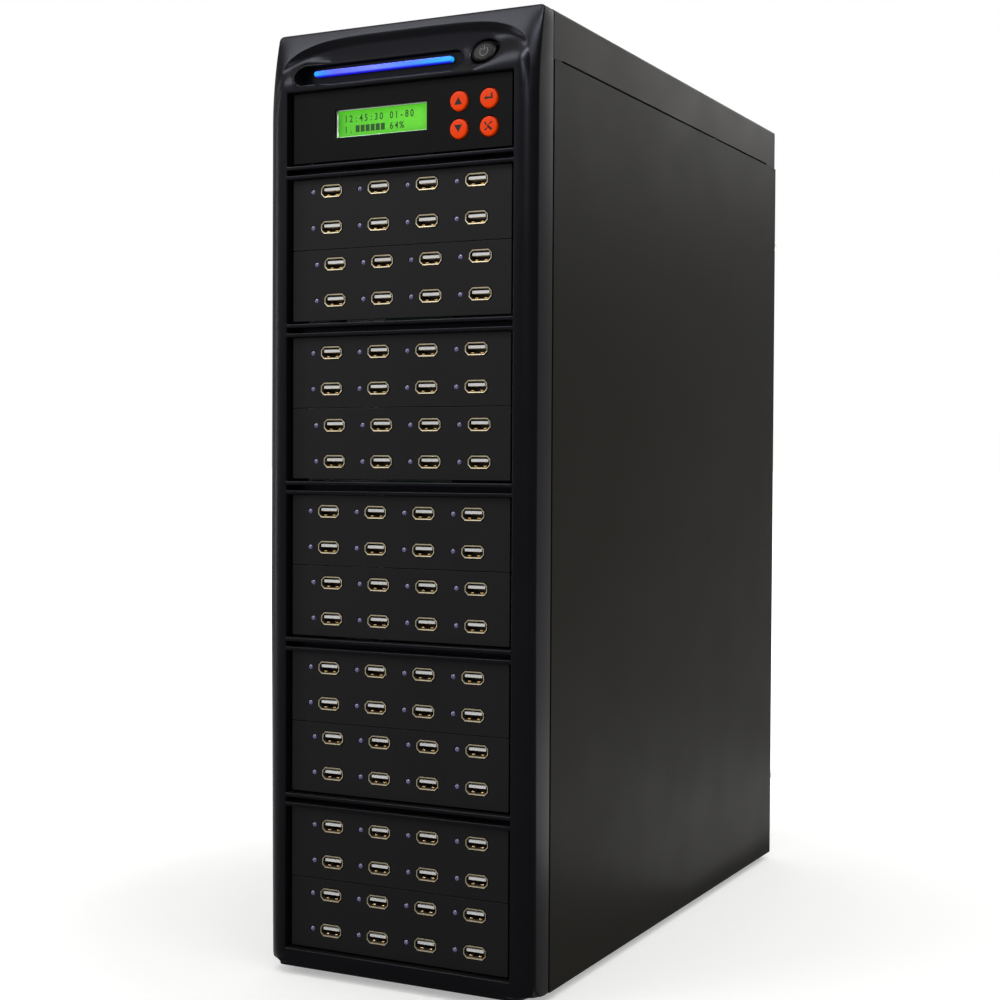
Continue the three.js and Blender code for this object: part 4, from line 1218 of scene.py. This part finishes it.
key_signs = {
    "up_key": triangle(1),
    "down_key": triangle(-1),
    "enter_key": bent_arrow(arrow_reach, arrow_half_line),
    "escape_key": cross(cross_reach, cross_half_line),
}


def add_turned(bm, x, z, stages, steps=round_steps, skin=0):
    """Adds a turned shape, from its radius at each depth."""
    add_loft(bm, [ring_at(oval_ring(x, z, radius, radius, steps), y) for radius, y in stages],
             skin)


def build_key(sign):
    """A cap with a round rim and a slightly domed face, and its sign."""
    bm = bmesh.new()
    low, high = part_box("up_key")
    depth = high.y - low.y
    rim_front = key_proud + control_gauge + rim_clear
    rim_back = rim_front + rim_gauge
    stages = [(stem_radius, depth), (stem_radius, rim_back), (rim_radius, rim_back),
              (rim_radius, rim_front), (key_radius, rim_front - rim_clear)]
    stages += [(key_radius - inset, y) for inset, y in edge_stages(key_edge, key_crown)]
    stages += [(key_radius / 2, key_crown / 4), (key_tip, 0)]
    add_turned(bm, 0, 0, stages)
    pressed_plate(bm, [sign], 0, sign_gauge, sign_gauge / 4, skin=1)
    return bm


def front_of(name):
    """The middle of a solid's front."""
    low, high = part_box(name)
    return (low.x + high.x) / 2, low.y, (low.z + high.z) / 2


for name in key_names:
    place(name + "_cap", close_mesh(name, build_key(key_signs[name]), key_orange, print_black),
          name.replace("key", "push"), [name], at=front_of(name))

# Boards behind the control plate
# Green circuit boards: one carries the key switches, and the controller lies across the cage
# with its processor, a finned heat sink, memory and the headers for the cables.
board_gauge = 1.6 * mm
chip_edge = 0.2 * mm
tact_half = 3 * mm
sink_half = 17 * mm
sink_base = 3 * mm
sink_tall = 12 * mm
fin_count = 9
fin_pitch = 4 * mm
fin_gauge = 1.2 * mm
header_inset = 9 * mm
header_half_wide = 25 * mm
header_deep = 9 * mm
header_tall = 9 * mm
header_edge = 0.4 * mm
header_pins = 20
pin_pitch = 2.4 * mm
pin_side = 0.6 * mm
pin_inset = 5 * mm
# Each chip's left, front, width, depth and height.
chip_unit = 2 * mm
chip_shares = ((18, 0, 7, 7, 1), (-26, -10, 5, 8, 1), (-26, 8, 5, 8, 1), (20, -20, 9, 4, 0.8),
               (10, -25, 4, 4, 0.8), (-12, -23, 6, 4, 0.8))
chip_black = plastic("chip black", "121214", "1a1a1c", 0.45, dust=0.2)
sink_metal = bare_metal("black anodised fins", "1c1d20", "26272b", 0.4, metallic=0.6)
gold = bare_metal("gold contacts", "805a1e", "a47a34", 0.4)


def build_keypad():
    """The key board, with a switch behind each key."""
    bm = bmesh.new()
    low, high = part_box("keypad_board")
    board_front = high.y - board_gauge
    add_block(bm, (low.x, board_front, low.z), high, edge=board_edge)
    for name in key_names:
        spot = middle_of(name)
        add_bar(bm, spot.x, spot.z, tact_half, tact_half, low.y, board_front, skin=1,
                edge=chip_edge)
    return bm


place("keypad", close_mesh("keypad", build_keypad(), board_green, chip_black), "case",
      ["keypad_board"])


def build_controller():
    """The controller board with its heat sink, chips and one long header."""
    bm = bmesh.new()
    low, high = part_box("controller_board")
    top = low.z + board_gauge
    middle = (low.y + high.y) / 2
    add_block(bm, low, (high.x, high.y, top), edge=board_edge)
    add_block(bm, (-sink_half, middle - sink_half, top),
              (sink_half, middle + sink_half, top + sink_base), skin=2)
    for i in range(fin_count):
        x = -sink_half + i * fin_pitch
        add_block(bm, (x, middle - sink_half, top + sink_base),
                  (x + fin_gauge, middle + sink_half, top + sink_tall), skin=2)
    for shares in chip_shares:
        left, front, wide, deep, tall = (share * chip_unit for share in shares)
        corner = Vector((left, middle + front, top))
        add_block(bm, corner, corner + Vector((wide, deep, tall)), skin=1, edge=chip_edge)
    header_back = high.y - header_inset
    header_top = top + header_tall
    add_block(bm, (-header_half_wide, header_back - header_deep, top),
              (header_half_wide, header_back, header_top), skin=1, edge=header_edge)
    for i in range(header_pins):
        corner = Vector(((i - (header_pins - 1) / 2) * pin_pitch, header_back - pin_inset,
                         header_top))
        add_block(bm, corner, corner + Vector((pin_side, pin_side, pin_side)), skin=3)
    return bm


place("controller", close_mesh("controller", build_controller(), board_green, chip_black,
                               sink_metal, gold), "case", ["controller_board"])

# Port plates
# Ten plates in the same matt black steel, two to a bay. Each is punched with eight windows for
# the sockets and eight round holes for their lamps, a little off its middle.
column_pitch = 32.3 * mm
row_pitch = 21.4 * mm
lamp_offset = 13 * mm
port_gauge = 1.5 * mm
socket_half_wide = 7.2 * mm
socket_half_tall = 3.75 * mm
socket_corner = 2.2 * mm
socket_gap = 0.35 * mm
lamp_hole = 1.7 * mm
hole_steps = 20
shift_unit = 1 * mm
right_shares = (2.4, 5, 2.6, 4.8, 1, 3.2, 1.5, 4.3, 4.5, 3.4)
up_shares = (2.6, 1.7, 0.8, 0.1, 0.5, 0.3, 1, 1.6, 0.2, 1.2)
strip_numbers = range(1, len(right_shares) + 1)


def socket_places(number):
    """The middles of a strip's eight sockets, from the middle of the strip."""
    right = right_shares[number - 1] * shift_unit
    up = up_shares[number - 1] * shift_unit
    return [(right + (column - 1.5) * column_pitch, up + row * row_pitch)
            for row in (0.5, -0.5) for column in range(4)]


def build_port_plate(places):
    """A plate with its windows and holes, and its ears."""
    bm = bmesh.new()
    low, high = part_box("port_panel_01")
    outlines = [rounded_ring(0, 0, high.x, (high.z - low.z) / 2, window_corner)]
    for x, z in places:
        outlines.append(rounded_ring(x, z, socket_half_wide + socket_gap,
                                     socket_half_tall + socket_gap, socket_corner, steps=1))
        outlines.append(oval_ring(x - lamp_offset, z, lamp_hole, lamp_hole, hole_steps))
    pressed_plate(bm, outlines, low.y, port_gauge, plate_edge / 2)
    add_ears(bm, low, high)
    return bm


for number in strip_numbers:
    node = f"port_panel_{number:02d}"
    mesh = close_mesh(node, build_port_plate(socket_places(number)), plate_black)
    place(f"port_plate_{number:02d}", mesh, "case", [node],
          at=(0, 0, middle_of(node).z))

# Port boards
# A circuit board behind each plate carries eight sockets and eight lamps. A socket is a folded
# nickel shell with a flared mouth, round a pale tongue with four gilt contacts. A lamp is a
# small clear dome, lavender when it is off.
socket_depth = 14.4 * mm
socket_unit = 1 * mm
# Each ring of the shell: half its width and height, its corner, and its depth.
shell_shares = ((6.6, 2.85, 0.6, socket_depth / socket_unit), (6.6, 2.85, 0.6, 1.6),
                (7, 3.5, 1.9, 0.75), (7.2, 3.75, 2.1, 0.4), (7.2, 3.75, 2.1, 0.15),
                (7.1, 3.65, 2.05, 0), (6.75, 3.1, 1.75, 0.1), (6.5, 2.75, 1.3, 0.7),
                (6.4, 2.6, 0.9, 9.8))
# The deepest band of each shell is darkened to near black brown: painted shade inside the socket.
shell_skins = (0, 0, 0, 0, 0, 0, 0, 1)
tongue_half_wide = 5.55 * mm
tongue_rise = 1.95 * mm
tongue_gauge = 1.84 * mm
tongue_front = 0.9 * mm
tongue_back = 9.7 * mm
tongue_edge = 0.12 * mm
contacts = 4
contact_pitch = 2.4 * mm
contact_width = 1 * mm
contact_front = 1.3 * mm
contact_back = 9 * mm
contact_proud = 0.12 * mm
contact_sunk = 0.02 * mm
spring_x = 3 * mm
spring_width = 1.8 * mm
spring_front = 1.6 * mm
spring_back = 5 * mm
spring_low = 2.6 * mm
spring_high = 1.95 * mm
spring_edge = 0.1 * mm
lamp_radius = 1.5 * mm
lamp_steps = 16
dome_height = 1 * mm
dome_turns = (0, 0.3, 0.6, 0.9, 1.2, 1.45)
post_x = 66 * mm
post_half = 2.5 * mm
post_front = 2.2 * mm
plug_half_wide = 8 * mm
plug_half_tall = 4 * mm
post_edge = 0.3 * mm
shell_patch = 3 * mm
shell_metal = bare_metal("socket shell", "6a6353", "8c836e", 0.34, patch=shell_patch)
# Painted shade: the deep inside of the nickel shell, given a dark brown finish.
throat_shade = bare_metal("socket throat", "0c0a09", "17130f", 0.5, metallic=0.3)
tongue_plastic = plastic("pale tongue", "b9bbbd", "d2d3d4", 0.35)
lamp_plastic = plastic("lavender lamp", "585378", "6e6892", 0.3, Specular_IOR_Level=0.2)


def add_socket(bm, x, z, face):
    """Adds a shell, its tongue with the contacts under it, and the two springs of the shell."""
    rings = []
    for shares in shell_shares:
        wide, tall, corner, depth = (share * socket_unit for share in shares)
        rings.append(ring_at(rounded_ring(x, z, wide, tall, corner, steps=1), face + depth))
    add_loft(bm, rings, skin=shell_skins, first=False)
    under = z + tongue_rise - tongue_gauge
    add_block(bm, (x - tongue_half_wide, face + tongue_front, under),
              (x + tongue_half_wide, face + tongue_back, z + tongue_rise), skin=2,
              edge=tongue_edge)
    for i in range(contacts):
        left = x + (i - (contacts - 1) / 2) * contact_pitch - contact_width / 2
        add_block(bm, (left, face + contact_front, under - contact_proud),
                  (left + contact_width, face + contact_back, under + contact_sunk), skin=3)
    for side in (-1, 1):
        left = x + side * spring_x - spring_width / 2
        add_block(bm, (left, face + spring_front, z - spring_low),
                  (left + spring_width, face + spring_back, z - spring_high), skin=3,
                  edge=spring_edge)


def build_port_board(places):
    """A board with its sockets, lamps, two posts that touch the plate, and the plug behind."""
    bm = bmesh.new()
    low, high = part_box("port_board_01")
    face = low.y
    board_front = face + socket_depth
    board_back = board_front + board_gauge
    half_tall = (high.z - low.z) / 2
    add_block(bm, (low.x, board_front, -half_tall), (high.x, board_back, half_tall), skin=4,
              edge=board_edge)
    stages = [(lamp_radius, board_front)]
    stages += [(lamp_radius * math.cos(a), face + dome_height * (1 - math.sin(a)))
               for a in dome_turns]
    for x, z in places:
        add_socket(bm, x, z, face)
        add_turned(bm, x - lamp_offset, z, stages, lamp_steps, skin=5)
    for x in (-post_x, post_x):
        add_bar(bm, x, 0, post_half, post_half, face + post_front, board_front, edge=post_edge)
    add_bar(bm, 0, 0, plug_half_wide, plug_half_tall, board_back, high.y, skin=6, edge=post_edge)
    return bm


for number in strip_numbers:
    node = f"port_board_{number:02d}"
    mesh = close_mesh(node, build_port_board(socket_places(number)), shell_metal, throat_shade,
                      tongue_plastic, gold, board_green, lamp_plastic, chip_black)
    place(f"socket_board_{number:02d}", mesh, "case", [node],
          at=(0, 0, middle_of(node).z))

# Bus board and the supply's lead
# A tall green circuit board that every port board plugs into, held by their plugs, and the lead
# that feeds it from the power supply, sleeved in black.
sleeve_grain = 1.2 * mm
sleeve_bump = 0.15 * mm
sleeve = finish("black sleeve", "131314", "1d1d1f", 0.6, sleeve_grain, sleeve_bump, dust=0.1)
dress(board_green, board_edge, "bus_board")
dress(sleeve, board_edge, "power_lead")

# Power supply
# A folded zinc steel box with its own fan behind a wire guard. It is screwed to the rear panel,
# which has an opening for its fan, its mains inlet and its switch.
dress(zinc_steel, sheet_edge, "supply_case")
fan_black = plastic("black fan plastic", "0f0f10", "161617", 0.42, worn="2c2c2e", wear=0.2,
                    dust=0.35)
shaft_radius = 2 * mm
shaft_length = 3.6 * mm
hub_radius = 17 * mm
hub_depth = 17 * mm
hub_edge = 2 * mm
blade_sunk = 1 * mm
blade_root = hub_radius - blade_sunk
blade_reach = 36 * mm
blade_count = 7
blade_stations = 7
blade_chord = 15 * mm
blade_gauge = 1.3 * mm
blade_camber = 0.6
blade_sweep = 0.25
root_turn = 0.85
tip_turn = 0.55
# Round the section of a blade: how far along its chord, and how far out from it.
section_shares = ((-1, 0), (-0.5, 0.6), (0, 0.9), (0.5, 0.6), (1, 0), (0.5, 0), (0, 0.2),
                  (-0.5, 0))


def blade_ring(share, start, middle):
    """The section of a blade, at a share of its length out from the hub."""
    radius = blade_root + share * (blade_reach - blade_root)
    turn = root_turn + (tip_turn - root_turn) * share
    ring = []
    for along, out in section_shares:
        forward = along * blade_chord / 2
        side = (out + blade_camber * (1 - along * along)) * blade_gauge
        across = forward * math.sin(turn) + side * math.cos(turn)
        flat = Matrix.Rotation(start + blade_sweep * share, 2) @ Vector((across, radius))
        ring.append(Vector((flat.x, middle + forward * math.cos(turn) - side * math.sin(turn),
                            flat.y)))
    return ring


def build_rotor():
    """A cup-shaped hub with seven swept blades, set about the rotor's own axis."""
    bm = bmesh.new()
    stages = [(shaft_radius, hub_depth + shaft_length), (shaft_radius, hub_depth),
              (hub_radius, hub_depth)]
    stages += [(hub_radius - inset, y) for inset, y in edge_stages(hub_edge, 0)]
    add_turned(bm, 0, 0, stages)
    for i in range(blade_count):
        start = 2 * math.pi * i / blade_count
        add_loft(bm, [blade_ring(j / (blade_stations - 1), start, hub_depth / 2)
                      for j in range(blade_stations)])
    return bm


rotor_mesh = close_mesh("rotor", build_rotor(), fan_black)
for name in ("supply", "lower", "upper"):
    node = name + "_fan_rotor"
    place(name + "_fan_blades", rotor_mesh, name + "_rotor", [node],
          at=front_of(node))

wire_radius = 0.9 * mm
guard_rings = (9 * mm, 16.5 * mm, 24 * mm, 31.5 * mm, 39 * mm)
guard_gap = 1.4 * mm
bolt_half = 35.75 * mm
eye_radius = 3.2 * mm
eye_steps = 20
# Each ring of a screw's head: its radius, and its depth behind the guard.
screw_unit = 1 * mm
screw_shares = ((3.4, 0.9), (3.4, 1.6), (2.6, 2.4), (1.4, 2.7), (0.9, 2.7), (0.6, 1.7))
bright_wire = bare_metal("bright wire", "b4b6b8", "d8dadb", 0.22, dust=0.1)
screw_metal = bare_metal("black screw", "1b1b1d", "2a2a2d", 0.35, metallic=0.8)


def add_wire(bm, points, closed=False, sides=8):
    """Adds a round wire that lies in a plane facing the back, along a line of points."""
    count = len(points)
    rings = []
    for i, point in enumerate(points):
        before = points[i - 1] if closed or i else point
        after = points[(i + 1) % count] if closed or i + 1 < count else point
        way = (after - before).normalized()
        side = Vector((0, 1, 0)).cross(way).normalized()
        up = way.cross(side)
        rings.append([point + wire_radius * (math.cos(a) * side + math.sin(a) * up)
                      for a in (2 * math.pi * k / sides for k in range(sides))])
    if closed:
        rings.append(rings[0])
    before = len(bm.verts)
    add_loft(bm, rings, first=not closed, last=not closed)
    if closed:
        bm.verts.ensure_lookup_table()
        bmesh.ops.remove_doubles(bm, verts=bm.verts[before:], dist=weld)


def build_guard():
    """Five rings on two crossed wires that end in eyes, held by four screws."""
    bm = bmesh.new()
    for radius in guard_rings:
        add_wire(bm, ring_at(oval_ring(0, 0, radius, radius), 0), closed=True)
    for side in (-1, 1):
        corner = Vector((side * bolt_half, 0, bolt_half))
        end = corner - corner.normalized() * eye_radius
        add_wire(bm, [-end, end])
    for x in (-bolt_half, bolt_half):
        for z in (-bolt_half, bolt_half):
            eye = oval_ring(x, z, eye_radius, eye_radius, eye_steps)
            add_wire(bm, ring_at(eye, 0), closed=True)
            stages = [(r * screw_unit, y * screw_unit) for r, y in screw_shares]
            add_turned(bm, x, z, stages, eye_steps, skin=1)
    return bm


guard_mesh = close_mesh("guard", build_guard(), bright_wire, screw_metal)
for name in ("lower_fan", "upper_fan"):
    place(name + "_wires", guard_mesh, "case", [name + "_guard"],
          at=middle_of(name + "_guard"))
spot = middle_of("supply_fan_rotor")
spot.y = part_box("rear_panel")[1].y + guard_gap
place("supply_fan_wires", guard_mesh, "case", at=spot)

# Mains inlet and rocker
# A black moulded socket with three steel prongs, shaped so that its lead fits one way up, and a
# plain black rocker. Both snap into the power supply's rear face.
inlet_low, inlet_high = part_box("mains_inlet")
inlet_middle = (inlet_low + inlet_high) / 2
inlet_inset = 2.5 * mm
inlet_cut = 1 * mm
inlet_edge = 0.5 * mm
flange_gauge = 2 * mm
mouth_inset = 4.3 * mm
mouth_cut = 4 * mm
mouth_floor = 2 * mm
prong_half_wide = 1 * mm
prong_half_tall = 2 * mm
prong_start = 1 * mm
prong_recess = 5 * mm
prong_spread = 7 * mm
prong_rise = 2 * mm
soft_edge = 0.4 * mm


def inlet_outline(inset, cut):
    """A rectangle with its two upper corners cut off."""
    left, right = inlet_low.x + inset, inlet_high.x - inset
    foot, top = inlet_low.z + inset, inlet_high.z - inset
    return [Vector((left, foot)), Vector((right, foot)), Vector((right, top - cut)),
            Vector((right - cut, top)), Vector((left + cut, top)), Vector((left, top - cut))]


def build_inlet():
    """The body, its flange and its mouth in one skin, and the three flat prongs in it."""
    bm = bmesh.new()
    back = inlet_high.y
    rings = ((inlet_inset, inlet_cut, inlet_low.y), (inlet_inset, inlet_cut, back - flange_gauge),
             (0, inlet_cut, back - flange_gauge), (0, inlet_cut, back - inlet_edge),
             (inlet_edge, inlet_cut, back), (mouth_inset, mouth_cut, back),
             (mouth_inset, mouth_cut, inlet_low.y + mouth_floor))
    add_loft(bm, [ring_at(inlet_outline(inset, cut), y) for inset, cut, y in rings])
    for right, up in ((-prong_spread, -prong_rise), (prong_spread, -prong_rise), (0, prong_rise)):
        add_bar(bm, inlet_middle.x + right, inlet_middle.z + up, prong_half_wide,
                prong_half_tall, inlet_low.y + prong_start, back - prong_recess, skin=1,
                edge=inlet_edge)
    return bm


place("mains_socket", close_mesh("mains socket", build_inlet(), satin_black, zinc_steel), "case",
      ["mains_inlet"])
dress(gloss_black, soft_edge, "rocker")

# Case fans
# Two square fans, each with a frame moulded in black plastic and a rotor like the supply's,
# screwed inside the rear panel through the eyes of their wire guards.
dress(fan_black, soft_edge, "lower_fan_frame", "upper_fan_frame")

# Thumbscrews and feet
# Two turned and knurled screws, plated in bright nickel, hold each side panel to the rear panel.
# Four rubber feet are screwed under the pan.
nickel = bare_metal("bright nickel", "9c9c9a", "c2c1be", 0.28, dust=0.1)
knurls = 36
knurl_depth = 0.35 * mm
knurl_edge = 0.5 * mm
thread_radius = 1.8 * mm
head_length = 8 * mm
collar_radius = 4.6 * mm
collar_length = 1 * mm
head_edge = 0.6 * mm
dish_radius = 3.6 * mm
dish_slope = 0.2 * mm
dish_depth = 0.4 * mm
recess_radius = 1.6 * mm
recess_tip = 0.5 * mm
recess_depth = 2 * mm
rubber_grain = 0.4 * mm
rubber_bump = 0.06 * mm
foot_edge = 0.3 * mm


def build_thumbscrew():
    """The thread, the collar, the knurled head and the recess in its end, in one skin."""
    bm = bmesh.new()
    low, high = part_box("thumbscrew_right_lower")
    radius = (high.x - low.x) / 2
    length = high.y - low.y
    head = length - head_length
    knurl_start = head + collar_length
    stages = [(thread_radius, 0), (thread_radius, head), (collar_radius, head),
              (collar_radius, knurl_start), (radius - knurl_edge, knurl_start),
              (radius, knurl_start + knurl_edge), (radius, length - head_edge),
              (radius - head_edge, length), (dish_radius, length),
              (dish_radius - dish_slope, length - dish_depth),
              (recess_radius, length - dish_depth), (recess_tip, length - recess_depth)]
    rings = []
    for size, y in stages:
        points = oval_ring(0, 0, size, size, steps=2 * knurls)
        if size == radius:
            points = [p * (1 - knurl_depth / size) if i % 2 else p for i, p in enumerate(points)]
        rings.append(ring_at(points, y))
    add_loft(bm, rings)
    return bm


screw_mesh = close_mesh("thumbscrew", build_thumbscrew(), nickel)
for side in ("right", "left"):
    for level in ("lower", "upper"):
        node = f"thumbscrew_{side}_{level}"
        place(f"{side}_{level}_screw", screw_mesh, side + "_side", [node],
              at=front_of(node))

rubber = finish("soft rubber", "131313", "1c1c1c", 0.8, rubber_grain, rubber_bump, dust=0.2)
dress(rubber, foot_edge, "foot_front_left", "foot_front_right", "foot_rear_left",
      "foot_rear_right")
